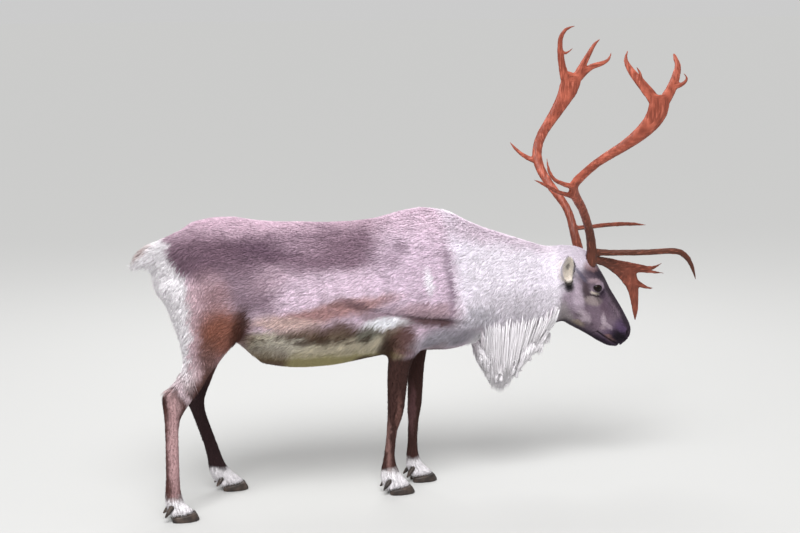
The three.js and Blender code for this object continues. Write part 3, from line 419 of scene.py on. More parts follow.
# Markings of the side: place forward and up, half length, half height, tilt, softness, share, colour
TRUNK_MARKS = [
    (-0.8, 1.0, 0.17, 0.036, 2, 0.9, 0.7, (96, 72, 90)),  # dark streak below the back
    (-0.56, 1.0, 0.22, 0.022, -4, 0.9, 0.25, (122, 96, 114)),
    (-0.9, 0.985, 0.12, 0.075, 0, 0.7, 0.4, (140, 112, 126)),
    (-0.52, 1.03, 0.09, 0.03, -8, 0.9, 0.55, (190, 164, 180)),
    (-0.28, 1.06, 0.15, 0.04, 14, 1.0, 0.3, (142, 114, 130)),  # behind the shoulder blade
    (-0.74, 0.88, 0.11, 0.08, -20, 0.6, 0.85, (146, 122, 136)),  # hip
    (-0.64, 0.905, 0.06, 0.04, 10, 0.7, 0.5, (206, 180, 194)),
    (-0.34, 0.86, 0.23, 0.055, 2, 0.6, 0.7, (238, 218, 234)),  # pale flank
    (-0.01, 1.04, 0.12, 0.09, 0, 0.9, 0.8, (236, 214, 230)),  # shoulder blade
    (-0.05, 0.9, 0.15, 0.11, 0, 0.8, 0.65, (230, 210, 228)),
    (-0.13, 0.99, 0.05, 0.03, 40, 0.8, 0.4, (150, 124, 144)),
    (-0.43, 0.778, 0.22, 0.028, 8, 0.6, 0.85, (176, 132, 126)),  # warm band over the belly
    (-0.58, 0.74, 0.12, 0.03, -5, 0.5, 0.85, (222, 196, 190)),  # pale strip at the groin
    (-0.03, 0.755, 0.11, 0.026, -3, 0.7, 0.7, (172, 142, 148)),
    (0.012, 0.712, 0.125, 0.016, -7, 0.6, 0.92, (86, 56, 56)),  # painted shadow under the fringe of the forequarter, over the elbow
    (-0.28, 0.775, 0.12, 0.012, -20, 0.9, 0.6, (124, 98, 104)),  # painted shade along the fold of skin
]
BELLY_MARKS = [
    (-0.4, 0.7, 0.14, 0.03, 2, 0.7, 0.85, (92, 64, 46)),  # brown patch
    (-0.545, 0.69, 0.08, 0.016, -12, 0.7, 0.6, (110, 86, 70)),
    (-0.25, 0.69, 0.05, 0.032, 20, 0.6, 0.8, (124, 124, 112)),
    (-0.6, 0.655, 0.08, 0.03, 0, 0.7, 0.6, (206, 202, 192)),
]
SHOULDER_MARKS = [
    (-0.19, 0.72, 0.085, 0.019, -4, 0.5, 1.0, (250, 250, 255)),  # white tuft over the elbow
    (0.074, 0.86, 0.01, 0.115, 4, 0.9, 0.6, (140, 118, 138)),  # edge of the neck
    (-0.016, 0.872, 0.013, 0.046, 8, 0.6, 0.9, (250, 246, 252)),  # white fleck of the shoulder
    (-0.122, 0.64, 0.056, 0.066, 0, 0.5, 0.92, (104, 68, 60)),  # elbow
    (-0.182, 0.606, 0.026, 0.06, 0, 0.6, 0.9, (60, 34, 24)),
    (0.07, 0.632, 0.12, 0.046, 8, 0.6, 0.92, (182, 178, 188)),  # breast
    (0.02, 0.575, 0.05, 0.022, 30, 0.7, 0.8, (168, 150, 158)),
]
NECK_MARKS = [
    (0.33, 1.035, 0.22, 0.05, -14, 0.7, 0.6, (214, 190, 206)),  # along the crest
    (0.4, 0.755, 0.19, 0.042, -3, 0.9, 0.4, (206, 200, 206)),
    (0.2, 0.715, 0.06, 0.04, 0, 0.8, 0.5, (182, 180, 188)),
    (0.3, 0.9, 0.13, 0.07, 0, 0.9, 0.6, (250, 244, 252)),
]
REAR_MARKS = [
    (-0.9, 0.8, 0.085, 0.12, -10, 0.6, 0.75, (196, 162, 168)),  # mixed hair of the thigh
    (-0.86, 0.86, 0.04, 0.03, 20, 0.8, 0.5, (150, 116, 120)),
    (-0.835, 0.712, 0.095, 0.085, -25, 0.6, 0.95, (140, 86, 66)),
    (-0.765, 0.722, 0.03, 0.075, -8, 0.7, 0.92, (66, 36, 26)),  # painted shade in the fold at the stifle
    (-0.905, 0.6, 0.04, 0.085, -12, 0.6, 0.8, (112, 78, 70)),
    (-0.985, 0.585, 0.045, 0.05, 20, 0.9, 0.6, (176, 140, 140)),
    (-0.992, 0.505, 0.014, 0.06, 24, 0.8, 0.9, (232, 208, 216)),  # pale streak across the hock
    (-1.03, 0.47, 0.02, 0.045, 20, 0.8, 0.7, (190, 158, 160)),
    (-1.075, 0.462, 0.016, 0.03, 0, 0.6, 0.85, (44, 24, 20)),  # point of the hock
    (-1.035, 0.29, 0.018, 0.14, 0, 0.9, 0.95, (196, 158, 160)),  # painted highlight on the lit edge of the near shank
    (-1.072, 0.3, 0.01, 0.13, 0, 0.9, 0.6, (84, 50, 46)),
    (-0.8, 0.25, 0.012, 0.12, 14, 0.9, 0.35, (124, 88, 100)),
    (-0.13, 0.3, 0.01, 0.08, 0, 0.9, 0.45, (140, 100, 92)),  # painted highlights on the knees and the near shin, this row and the next two
    (-0.03, 0.31, 0.01, 0.07, 0, 0.9, 0.45, (130, 92, 96)),
    (-0.17, 0.19, 0.008, 0.08, 0, 0.9, 0.45, (170, 130, 124)),
]
# Markings of the head, by distance down the face and out from it
FACE_MARKS = [
    (0.105, -0.16, 0.05, 0.022, -25, 0.7, 0.5, (214, 198, 212)),  # cheek
    (0.23, -0.135, 0.06, 0.03, 0, 0.8, 0.4, (146, 126, 142)),
    (0.205, -0.075, 0.06, 0.022, 4, 0.8, 0.6, (98, 78, 96)),
    (0.085, -0.041, 0.056, 0.023, 35, 0.5, 0.95, (42, 32, 44)),  # forehead
    (0.066, -0.09, 0.04, 0.022, 30, 0.9, 0.7, (98, 82, 96)),
    (0.11, -0.1, 0.042, 0.03, 20, 0.9, 0.55, (104, 88, 100)),
    (0.108, -0.124, 0.042, 0.013, -26, 0.8, 0.85, (72, 56, 62)),  # line behind the eye
    (0.162, -0.116, 0.032, 0.013, 42, 0.9, 0.75, (176, 162, 160)),  # below the eye
    (0.147, -0.102, 0.026, 0.0045, 42, 0.7, 0.9, (52, 40, 42)),
    (0.138, -0.095, 0.02, 0.0048, 42, 0.6, 0.95, (222, 210, 198)),  # lower lid
    (0.093, -0.072, 0.022, 0.0085, 42, 0.8, 0.7, (178, 156, 164)),  # upper lid
    (0.161, -0.062, 0.016, 0.009, 60, 0.6, 0.9, (50, 36, 54)),  # corner of the eye
    (0.175, -0.058, 0.012, 0.02, 0, 0.8, 0.6, (70, 54, 72)),
    (0.24, -0.096, 0.03, 0.016, 0, 0.8, 0.45, (108, 86, 100)),
    (0.272, -0.122, 0.024, 0.008, -25, 0.9, 0.65, (206, 190, 200)),  # painted highlight: pale streak of the muzzle, this row and the next two
    (0.305, -0.12, 0.022, 0.007, 15, 0.9, 0.6, (190, 174, 184)),
    (0.3, -0.142, 0.014, 0.006, 30, 0.7, 0.45, (188, 170, 178)),
    (0.192, -0.182, 0.028, 0.013, 10, 0.9, 0.7, (206, 190, 200)),  # painted highlight on the angle of the jaw, this row and the next
    (0.222, -0.172, 0.018, 0.009, -30, 0.9, 0.5, (190, 174, 184)),
    (0.17, -0.196, 0.018, 0.006, 20, 0.7, 0.6, (84, 70, 78)),
    (0.207, -0.212, 0.026, 0.009, 25, 0.9, 0.6, (168, 154, 130)),
    (0.255, -0.178, 0.03, 0.01, 25, 0.8, 0.5, (96, 80, 92)),
    (0.362, -0.141, 0.024, 0.009, 25, 0.6, 0.75, (146, 112, 106)),  # lip
    (0.392, -0.155, 0.022, 0.008, 25, 0.6, 0.6, (150, 128, 138)),  # chin
    (0.392, -0.104, 0.04, 0.026, 20, 0.7, 0.95, (16, 10, 18)),  # dark upper lip at the end of the mouth, part dark hair and part painted shadow of the nose
    (0.352, -0.074, 0.026, 0.016, 0, 0.7, 0.6, (92, 72, 106)),
    (0.406, -0.056, 0.012, 0.0038, 50, 0.7, 0.8, (176, 154, 164)),  # rim of the nostril
    (0.398, -0.07, 0.013, 0.007, -35, 0.4, 1.0, (14, 10, 12)),  # nostril, painted near black as the shade inside it
    (0.03, -0.1, 0.034, 0.007, 0, 0.8, 0.75, (96, 90, 110)),  # streak before the ear
]
TUFT_MARKS = [
    (0.036, -0.17, 0.018, 0.016, 0, 0.7, 0.95, (20, 15, 16)),  # dark tuft under the ear
    (-0.024, -0.146, 0.046, 0.024, -20, 0.3, 1.0, (240, 230, 218)),  # within its cup
    (0.01, -0.214, 0.042, 0.0035, 84, 0.7, 0.75, (70, 62, 70)),  # painted shade of a fold below the ear
    (0.048, -0.04, 0.03, 0.014, 42, 0.8, 0.6, (160, 124, 126)),  # curls at the foot of the antler
]


def paint_trunk(shader, forward, height, noises):
    """Back, flank, belly, shoulder and neck."""
    step, paint = shader.step, shader.paint
    broad, patchy, streaks, fine = noises
    x = forward + broad * 0.09 + patchy * 0.05 + streaks * 0.03
    z = height + broad * 0.05 + patchy * 0.035 + streaks * 0.02 + fine * 0.012
    side_view = shader.plane(x, z)
    shader.painted = shader.mix(step(z, 0.9, 0.97), FLANK, BACK)
    paint(step(x, -0.26, -0.12) * step(z, 0.9, 0.98) * 0.85, SHOULDER)
    # Painted sheen of the sky along the top of the back
    paint(step(z, 1.035, 1.105) * 0.85, BACK_TOP_SHEEN)
    shader.patches(side_view, TRUNK_MARKS)
    paint(step(patchy * 0.8 + streaks + fine * 0.6, -0.02, -0.26) * 0.42, SPECKLE)
    belly = step(z, 0.725, 0.68) * step(x, -0.76, -0.7) * step(x, -0.1, -0.16)
    paint(belly, BELLY)
    # Painted shade and painted reflection of grass along the bottom of the belly
    paint(belly * step(z, 0.625, 0.575), BELLY_UNDER_SHADE)
    shader.patches(side_view, BELLY_MARKS)
    matted = step(patchy + streaks * 0.8, 0.0, 0.14) * step(z, 0.62, 0.665) * belly
    paint(matted * 0.75, BELLY_BROWN)
    slant = forward + patchy * 0.05 + streaks * 0.03 - (1.0 - height) * 0.1
    neck = step(slant, 0.045, 0.13) * step(height + patchy * 0.02, 0.655, 0.69)
    trunk, shader.painted = shader.painted, MANE
    shader.patches(side_view, NECK_MARKS)
    shader.painted = shader.mix(neck, trunk, shader.painted)
    paint(step(forward, 0.15, 0.2) * step(height, 0.68, 0.65), WHITE)
    across = forward + patchy * 0.03 + streaks * 0.03
    up = height + patchy * 0.02 + streaks * 0.015
    shader.patches(shader.plane(across, up), SHOULDER_MARKS)


def paint_rear(shader, forward, side, height, noises):
    """Thighs, white rump, tail, legs and socks."""
    step, paint = shader.step, shader.paint
    broad, patchy, streaks, fine = noises
    hind = step(height + broad * 0.06, 0.7, 0.52) * step(forward, -0.55, -0.6)
    paint(hind, LEG)
    # Painted shade: the far (left) hind leg is darker below the hock
    paint(hind * step(side, -0.02, 0.04) * step(height, 0.5, 0.42), FAR_LEG_SHADE)
    fore = step(height + patchy * 0.03, 0.59, 0.55) * step(forward, -0.32, -0.28)
    paint(fore * step(forward, 0.18, 0.14), FORE_LEG)
    loose = patchy * 0.025 + streaks * 0.02 + fine * 0.01
    shader.patches(shader.plane(forward + loose, height + loose), REAR_MARKS)
    ragged = patchy * 0.05 + streaks * 0.05 + fine * 0.02
    edge = forward + ragged + step(height, 1.0, 0.9) * -0.05
    mixed = step(edge, -0.96, -1.0) * step(height, 0.5, 0.58) * step(height, 0.94, 0.86)
    paint(mixed * 0.7, RUMP_MIX)
    paint(step(edge, -0.995, -1.02) * step(height + patchy * 0.08 + streaks * 0.06, 0.48, 0.64), WHITE)
    tail = step(forward, -1.03, -1.06) * step(height, 0.93, 0.96)
    paint(tail, WHITE)
    paint(tail * step(height - forward * 0.7 + loose, 1.765, 1.795) * 0.75, TAIL_TOP)
    sock = height + patchy * 0.05 + broad * 0.03 + streaks * 0.03
    paint(step(sock, 0.112, 0.082) * 0.96, WHITE)


def paint_head(shader, forward, height, places, noises):
    """Pale poll and cheeks, dark forehead and muzzle, and marks round the eyes."""
    step, paint = shader.step, shader.paint
    broad, patchy, streaks, fine = noises
    down, out, w = places
    loose = patchy * 0.03 + fine * 0.012
    u = down + loose
    v = out + broad * 0.02 - streaks * 0.012 - fine * 0.008
    side_view = shader.plane(u, v)
    body = shader.painted
    shader.painted = shader.mix(step(u, 0.0, 0.075), POLL_HAIR, CHEEK)
    paint(step(u - v * 0.25, 0.15, 0.22) * 0.9, FACE)
    paint(step(u - v * 0.1, 0.3, 0.37), MUZZLE)
    # Painted shade: grey under the jaw
    paint(step(v, -0.2, -0.235) * step(u, 0.05, 0.09) * 0.6, JAW_UNDER_SHADE)
    shader.patches(side_view, FACE_MARKS, step(w, 0.02, 0.035))
    paint(step(v - (u - 0.269) * 0.45, -0.196, -0.212) * step(u, 0.16, 0.22) * 0.9, DARK)
    ridge = step(v + step(u, 0.3, 0.42) * 0.03, -0.052, -0.032) * step(u, 0.09, 0.14)
    paint(ridge * 0.85, FACE_RIDGE)
    paint(step(w, 0.045, 0.02) * step(u, 0.0, 0.05) * 0.8, FACE_DARK)
    across = (down - EYE["u"]) * EYE_RUN[0] + (out - EYE["v"]) * EYE_RUN[1]
    upright = (out - EYE["v"]) * EYE_RUN[0] - (down - EYE["u"]) * EYE_RUN[1]
    lids = (across * across) * (1 / LIDS[0] ** 2) + (upright * upright) * (1 / LIDS[1] ** 2)
    paint(step(lids, 1.15, 0.75) * step(w, 0.04, 0.06), DARK)
    # Painted shade along the mouth and the deepest folds of the face
    paint(shader.attribute("crease_shade") * 0.9, DARK)
    shader.patches(side_view, TUFT_MARKS, step(w, 0.035, 0.055))
    paint(shader.attribute("ear_back"), EAR_BACK)
    paint(shader.attribute("ear_cup"), EAR_INSIDE)
    # Dark rim of the ear, with painted shade deep in the cup
    paint(shader.attribute("ear_rim_and_shade") * 0.95, DARK)
    on_head = step(forward + loose, 0.53, 0.575) * step(height, 0.4, 0.42)
    shader.painted = shader.mix(on_head, body, shader.painted)


def paint_coat(shader, here):
    """The markings of the coat, by place, as a colour."""
    shader.here = here
    forward = shader.along((1, 0, 0))
    side = shader.along((0, 1, 0))
    height = shader.along((0, 0, 1))
    w = shader.node("ShaderNodeMath", {"operation": "ABSOLUTE"}, {0: shader.along(SIDEWAYS, POLL)})
    places = (shader.along(ALONG_FACE, POLL), shader.along(OFF_FACE, POLL), w)
    noises = [shader.noise(*settings) for settings in COAT_NOISES]
    paint_trunk(shader, forward, height, noises)
    paint_rear(shader, forward, side, height, noises)
    paint_head(shader, forward, height, places, noises)
    return shader.painted


def make_fur_material():
    """Fur takes its colour at its root, so that hairs of one colour cross into the next."""
    shader = Shader("fur", 0.78, 0.2)
    colour = paint_coat(shader, shader.attribute("root", "Vector"))
    light = 0.56 + shader.attribute("tone") * 0.74 + shader.attribute("tip") * 0.16
    shader.colour(shader.mix(1.0, colour, light, "MULTIPLY"))
    return shader.material


def make_skin_material():
    """Skin in the coat's colours, with fine streaks both ways."""
    shader = Shader("skin_under_fur", 0.92, 0.2)
    colour = paint_coat(shader, shader.place())
    fine = shader.noise(420.0, 2.0, (0.25, 1, 1)) + shader.noise(300.0, 2.0, (1, 1, 0.25))
    shader.colour(shader.mix(1.0, colour, 0.76 + fine * 0.4, "MULTIPLY"))
    shader.bump(fine, 0.35, 0.002)
    return shader.material


# The skin: one surface over all flesh, inside the solids by the coat's depth
SIDES = {"right": -1, "left": 1}
LEGS = [f"leg_{end}_{side}_{part}"
        for end in ("hind", "fore") for side in SIDES for part in ("upper", "lower")]
EARS = ["ear_right", "ear_left"]
BODY = ["torso", "neck", "head", "tail", *LEGS]


def coat_depth(points):
    """How far the tips of the coat stand over the skin."""
    x, z = points[:, 0], points[:, 2]
    depth = np.full(len(points), 0.01)
    depth += 0.004 * ramp(x, 0.1, 0.25)
    depth -= 0.007 * ramp(z, 0.62, 0.5) * (x < 0.2)
    on_head = ramp(x, 0.5, 0.6) * ramp(z, 0.5, 0.6)
    return depth * (1 - on_head) + 0.002 * on_head


def shape_eyes(points):
    """Lids that hug each eye, open between them."""
    for side in SIDES.values():
        u, v, w = head_place(points)
        du, dv = u - EYE["u"], v - EYE["v"]
        across = du * EYE_RUN[0] + dv * EYE_RUN[1]
        upright = dv * EYE_RUN[0] - du * EYE_RUN[1]
        reach = np.hypot(across / 0.0165, upright / np.where(upright > 0, 0.0125, 0.0105))
        flat = du ** 2 + dv ** 2
        ball = EYE["out"] + np.sqrt(np.maximum(EYE["radius"] ** 2 - flat, 0.008 ** 2))
        rim = ball + 0.0022 - 0.0022 * ramp(reach, 1.35, 1.8)
        inside = (side * w > 0.05) & (reach < 2.6)
        share = np.where(reach < 1.45, 1, 1 - ramp(reach, 1.45, 2.6)) * inside
        blend = ramp(reach, 0.94, 1.06)
        target = (ball - 0.01) * (1 - blend) + rim * blend
        move = (target - side * w) * share
        points = points + np.multiply.outer(move * side, SIDEWAYS)
    return points


# Folds of the face: rows of u and v, then depth and half width, below zero for a ridge
FOLDS = [
    ([(0.146, -0.086), (0.17, -0.094), (0.195, -0.098)], 0.0022, 0.004),
    ([(0.105, -0.052), (0.125, -0.05), (0.148, -0.062)], -0.0018, 0.007),
    ([(0.1, -0.1), (0.125, -0.108), (0.152, -0.108)], 0.001, 0.0035),
    ([(0.08, -0.112), (0.14, -0.118), (0.215, -0.12)], -0.0025, 0.009),
    ([(0.06, -0.225), (0.16, -0.225), (0.26, -0.19)], -0.0022, 0.012),
    ([(0.24, -0.06), (0.3, -0.062), (0.36, -0.064)], 0.0016, 0.012),
    ([(0.285, -0.15), (0.297, -0.166), (0.292, -0.182)], 0.0016, 0.004),
    ([(0.372, -0.052), (0.388, -0.05), (0.404, -0.056)], -0.0022, 0.005),
    ([(0.352, -0.09), (0.372, -0.092), (0.392, -0.09)], 0.001, 0.005),
]


def line_distance(u, v, line):
    """Distance in the head's side view from a line of points."""
    best = np.full(len(u), 1.0)
    for (u0, v0), (u1, v1) in zip(line, line[1:]):
        du, dv = u1 - u0, v1 - v0
        t = np.clip(((u - u0) * du + (v - v0) * dv) / (du * du + dv * dv), 0, 1)
        best = np.minimum(best, np.hypot(u - u0 - t * du, v - v0 - t * dv))
    return best


def shape_face(points, normals):
    """Mouth, lips, nostrils and folds, pressed in along the surface's normals."""
    u, v, w = head_place(points)
    on_head = (u > 0.03) & (points[:, 0] > 0.6)
    push = np.zeros(len(points))
    mouth = line_distance(u, v, MOUTH_LINE)
    below = v < np.interp(u, *zip(*MOUTH_LINE))
    push -= 0.0042 * np.exp(-(mouth / 0.0022) ** 2)
    push += np.where(below, 0.0014, 0.0022) * np.exp(-((mouth - 0.0065) / 0.004) ** 2)
    for line, depth, half in FOLDS:
        push -= depth * np.exp(-(line_distance(u, v, line) / half) ** 2)
    du, dv = u - NOSTRIL[0], v - NOSTRIL[1]
    long = du * NOSTRIL_RUN[0] - dv * NOSTRIL_RUN[1]
    short = du * NOSTRIL_RUN[1] + dv * NOSTRIL_RUN[0]
    nostril = np.hypot(long / 0.013, short / 0.0065)
    push -= 0.01 * np.exp(-nostril ** 2 * 1.4) * (np.abs(w) > 0.02)
    push += 0.0025 * np.exp(-((nostril - 1.55) / 0.4) ** 2) * (np.abs(w) > 0.02)
    return points + normals * (push * on_head)[:, None]


def creases(points):
    """Painted shade: 1 along the mouth and the deepest folds of the face, 0 elsewhere."""
    u, v = head_place(points)[:2]
    on_head = (u > 0.03) & (points[:, 0] > 0.6)
    dark = np.exp(-(line_distance(u, v, MOUTH_LINE) / 0.0035) ** 2)
    for line, depth, half in FOLDS:
        if depth > 0.0015:
            dark = np.maximum(dark, 0.45 * np.exp(-(line_distance(u, v, line) / half) ** 2))
    return dark * on_head


def subdivide_where(piece, wanted):
    """Splits the faces whose points are all wanted."""
    take_hold(piece)
    bpy.ops.object.mode_set(mode="EDIT")
    bpy.ops.mesh.select_all(action="DESELECT")
    bpy.ops.object.mode_set(mode="OBJECT")
    mesh = piece.data
    starts = read(mesh.polygons, "loop_start", 1, np.int32).ravel()
    corners = read(mesh.loops, "vertex_index", 1, np.int32).ravel()
    whole = np.minimum.reduceat(wanted[corners].astype(np.int8), starts) > 0
    mesh.polygons.foreach_set("select", whole)
    bpy.ops.object.mode_set(mode="EDIT")
    bpy.ops.mesh.select_mode(type="FACE")
    bpy.ops.mesh.subdivide(number_cuts=1)
    bpy.ops.object.mode_set(mode="OBJECT")


def near_eyes(points, size):
    """True for each point within a distance of an eye, in the head's side view."""
    u, v, w = head_place(points)
    return (np.hypot(u - EYE["u"], v - EYE["v"]) < size) & (np.abs(w) > 0.04)


# Folds of the body's side: rows of x and z, then depth and half width, below zero for a ridge
BODY_FOLDS = [
    ([(-0.42, 0.8), (-0.3, 0.785), (-0.15, 0.742), (0.02, 0.715), (0.15, 0.695)], 0.008, 0.011),
    ([(-0.42, 0.825), (-0.3, 0.812), (-0.15, 0.775), (0.02, 0.75), (0.13, 0.735)], -0.005, 0.022),
    ([(-0.735, 0.64), (-0.742, 0.71), (-0.728, 0.78), (-0.69, 0.85)], 0.01, 0.022),
    ([(-0.79, 0.64), (-0.8, 0.74), (-0.79, 0.83), (-0.74, 0.93)], -0.007, 0.04),
    ([(0.105, 1.08), (0.115, 0.98), (0.118, 0.86), (0.14, 0.74)], 0.006, 0.014),
    ([(0.155, 1.06), (0.165, 0.96), (0.17, 0.86), (0.19, 0.75)], -0.005, 0.026),
    ([(-0.145, 0.61), (-0.175, 0.67), (-0.2, 0.73)], 0.007, 0.016),
    ([(-0.96, 0.96), (-0.9, 0.86), (-0.88, 0.74), (-0.89, 0.62)], 0.004, 0.03),
]


def shape_body(points, normals):
    """Folds and hollows of the trunk, pressed in along the surface's normals."""
    x, z = points[:, 0], points[:, 2]
    push = np.zeros(len(points))
    for line, depth, half in BODY_FOLDS:
        push -= depth * np.exp(-(line_distance(x, z, line) / half) ** 2)
    ribs = np.sin(x * 95.0 + z * 14.0) * ramp(x, -0.62, -0.5) * ramp(x, -0.15, -0.25)
    push += 0.0012 * ribs * ramp(z, 0.7, 0.78) * ramp(z, 1.05, 0.98)
    facing_side = ramp(np.abs(normals[:, 1]), 0.25, 0.6) * (np.abs(points[:, 1]) > 0.08)
    return points + normals * (push * facing_side)[:, None]


def make_skin():
    """The closed skin with its folds, lids, mouth and nostrils."""
    skin = copy_nodes("skin", [*BODY, "eye_right", "eye_left"])
    remesh(skin, SKIN_VOXEL)
    x, _, z = points_of(skin).T
    head_share = ramp(x, 0.52, 0.6) * ramp(z, 0.52, 0.62)
    leg_share = ramp(z, LEG_TOP, 0.48) * (x < 0.22)
    weight = 1 - 0.45 * head_share - 0.45 * leg_share
    soften(skin, 40, weight * (1 - 0.6 * ramp(z, 0.12, 0.06)))
    points = points_of(skin)
    set_points(skin, points - normals_of(skin) * coat_depth(points)[:, None])
    set_points(skin, shape_body(points_of(skin), normals_of(skin)))
    soften(skin, 3, 1 - 0.8 * head_share)
    points = points_of(skin)
    down = head_place(points)[0]
    subdivide_where(skin, (down > 0.04) & (points[:, 0] > 0.62) & (points[:, 2] > 0.5))
    soften(skin, 3, ramp(points_of(skin)[:, 0], 0.6, 0.63))
    subdivide_where(skin, near_eyes(points_of(skin), 0.04))
    points = shape_eyes(points_of(skin))
    set_points(skin, points)
    set_points(skin, shape_face(points, normals_of(skin)))
    return skin


def ear_frame(side):
    """Root, length, direction of the length, across the ear and out of its cup."""
    root = head_point(EAR_ROOT[0], EAR_ROOT[1], side * EAR_ROOT[2])
    tip = head_point(EAR_TIP[0], EAR_TIP[1], side * EAR_TIP[2])
    length = np.linalg.norm(tip - root)
    run = (tip - root) / length
    cup = SIDEWAYS * side + FACING * 0.35
    cup = unit(cup - run * (cup @ run))
    across = np.cross(run, cup)
    turn = -EAR_TURN * side
    turned = cup * math.cos(turn) - across * math.sin(turn)
    return root, length, run, np.cross(run, turned), turned, across, cup


def ear_marks(points, normals, found):
    """Shares of the ear's cup, dark rim with painted shade deep in the cup, and back at each point that
    belongs to an ear.
    """
    cup_share, rim_and_shade_share, back_share = np.zeros((3, len(points)))
    for side in SIDES.values():
        root, length, run, across, cup = ear_frame(side)[:5]
        away = points - root
        t = away @ run / length
        here = found & (side * head_place(points)[2] > 0)
        half = EAR_SPREAD * EAR_WIDE * np.interp(t, *EAR_OUTLINE)
        k = np.abs(away @ across) / half
        rim = np.maximum(ramp(k, 0.72, 0.9) * ramp(t, 0.1, 0.3), ramp(t, 0.86, 0.94))
        # Painted shade deep in the cup
        cup_shade = ramp(np.hypot((t - 0.46) / 0.17, (away @ across / half - 0.2) / 0.34), 1.0, 0.4)
        hollow = ramp(t, 0.3, 0.2) * ramp(k, 0.75, 0.55)
        inner = np.maximum(ramp(normals @ cup, 0.0, 0.35) * here, hollow * here)
        cup_share += inner * (1 - rim)
        rim_and_shade_share += here * np.maximum(np.maximum(rim * 0.9, cup_shade * inner * 0.6), ramp(t, 0.16, 0.06) * 0.95)
        back_share += here * (1 - inner)
    return {"ear_cup": cup_share, "ear_rim_and_shade": np.clip(rim_and_shade_share, 0, 1), "ear_back": back_share}


def make_ear(side):
    """An ear spread and turned out, with a ball at its root that sinks into the head."""
    ear = copy_nodes(f"ear_shape_{side}", [f"ear_{side}"], swell=0.0006)
    root, _, run, across, cup, old_across, old_cup = ear_frame(SIDES[side])
    away = points_of(ear) - root
    parts = [away @ run, away @ old_across * EAR_SPREAD, away @ old_cup]
    set_points(ear, root + sum(np.multiply.outer(p, d) for p, d in zip(parts, (run, across, cup))))
    base = add_ball(root + run * 0.01, 0.016, 24, 16)
    take_hold(ear)
    base.select_set(True)
    bpy.ops.object.join()
    remesh(ear, EAR_VOXEL)
    soften(ear, 6, 0.7)
    return ear


def lighten_body(skin, share):
    """Fewer faces on the trunk and legs, where the coat hides the skin."""
    points = points_of(skin)
    body = np.nonzero(~((points[:, 0] > 0.54) & (points[:, 2] > 0.5)))[0]
    group = skin.vertex_groups.new(name="body")
    group.add(body.tolist(), 1.0, "REPLACE")
    apply_modifier(skin, "DECIMATE", decimate_type="COLLAPSE", ratio=share, vertex_group="body")
    skin.vertex_groups.clear()


def near_cloud(points, cloud, reach):
    """True for each point that lies within reach of a cloud of points."""
    tree = KDTree(len(cloud))
    for index, place in enumerate(cloud):
        tree.insert(place, index)
    tree.balance()
    low = cloud.min(axis=0) - reach
    high = cloud.max(axis=0) + reach
    found = np.all((points >= low) & (points <= high), axis=1)
    for index in np.nonzero(found)[0]:
        found[index] = tree.find(points[index])[2] < reach
    return found


skin = make_skin()
ear_cloud = []
for side in SIDES:
    ear = make_ear(side)
    ear_cloud.append(points_of(ear))
    apply_modifier(skin, "BOOLEAN", operation="UNION", solver="MANIFOLD", object=ear)
    bpy.data.objects.remove(ear)
lighten_body(skin, min(1.0, SKIN_FACES / len(triangles_of(skin))))
skin.data.polygons.foreach_set("use_smooth", np.full(len(skin.data.polygons), True))
skin_points = points_of(skin)
skin_normals = normals_of(skin)
skin_faces = triangles_of(skin)
is_ear = near_cloud(skin_points, np.concatenate(ear_cloud), 0.0004)
marks = ear_marks(skin_points, skin_normals, is_ear)
marks["crease_shade"] = creases(skin_points)
add_values(skin, marks)
skin.data.materials.clear()
settle(skin, make_skin_material(), [*BODY, *EARS])


# Which way the coat lies at each point
def toward(vector, points):
    return np.broadcast_to(np.array(vector, float), points.shape)


def blend(first, second, share):
    return first * (1 - share[:, None]) + second * share[:, None]


def lie_of(points, normals, ear):
    """The direction of the coat: to the rear and down, up the face, and along each ear."""
    x, _, z = points.T
    u, v, _ = head_place(points)
    lie = blend(toward((-1, 0, -0.12), points), toward((-1, 0, -0.55), points), ramp(z, 1.0, 0.68))
    on_legs = ramp(z, 0.68, 0.56) * ((x < -0.55) | ((x > -0.3) & (x < 0.16)))
    for vector, share in (
        ((-0.45, 0, -1), ramp(x, -0.8, -0.95) * ramp(z, 1.08, 0.98)),
        ((-0.9, 0, -0.6), ramp(x, 0.08, 0.2)),
        ((-0.5, 0, -1), ramp(x, 0.1, 0.2) * ramp(z, 0.86, 0.68)),
        ((-0.12, 0, -1), on_legs),
        ((0.25, 0, -1), ramp(z, 0.13, 0.07)),
        ((-0.75, 0, -0.65), ramp(x, -1.0, -1.04) * ramp(z, 0.9, 0.94)),
    ):
        lie = blend(lie, toward(vector, points), share)
    under, over = -ALONG_FACE - 0.25 * OFF_FACE, -ALONG_FACE + 0.2 * OFF_FACE
    face = blend(toward(under, points), toward(over, points), ramp(v, -0.09, -0.03))
    lie = blend(lie, face, ramp(x, 0.54, 0.62) * ramp(z, 0.5, 0.6) * ramp(u, -0.06, 0.03))
    for side in SIDES.values():
        root, length, run = ear_frame(side)[:3]
        away = points - root
        t = away @ run / length
        beside = np.linalg.norm(away - np.multiply.outer(t * length, run), axis=1)
        lie = blend(lie, toward(run, points), ramp(t, 0.1, 0.25) * ramp(beside, 0.06, 0.04) * ear)
    turn = sway(points, 0.05, 1.0) * 0.22 + sway(points, 0.017, 4.0) * 0.14
    lie = unit(lie - normals * np.sum(lie * normals, axis=1, keepdims=True))
    return unit(lie + np.cross(normals, lie) * turn[:, None])


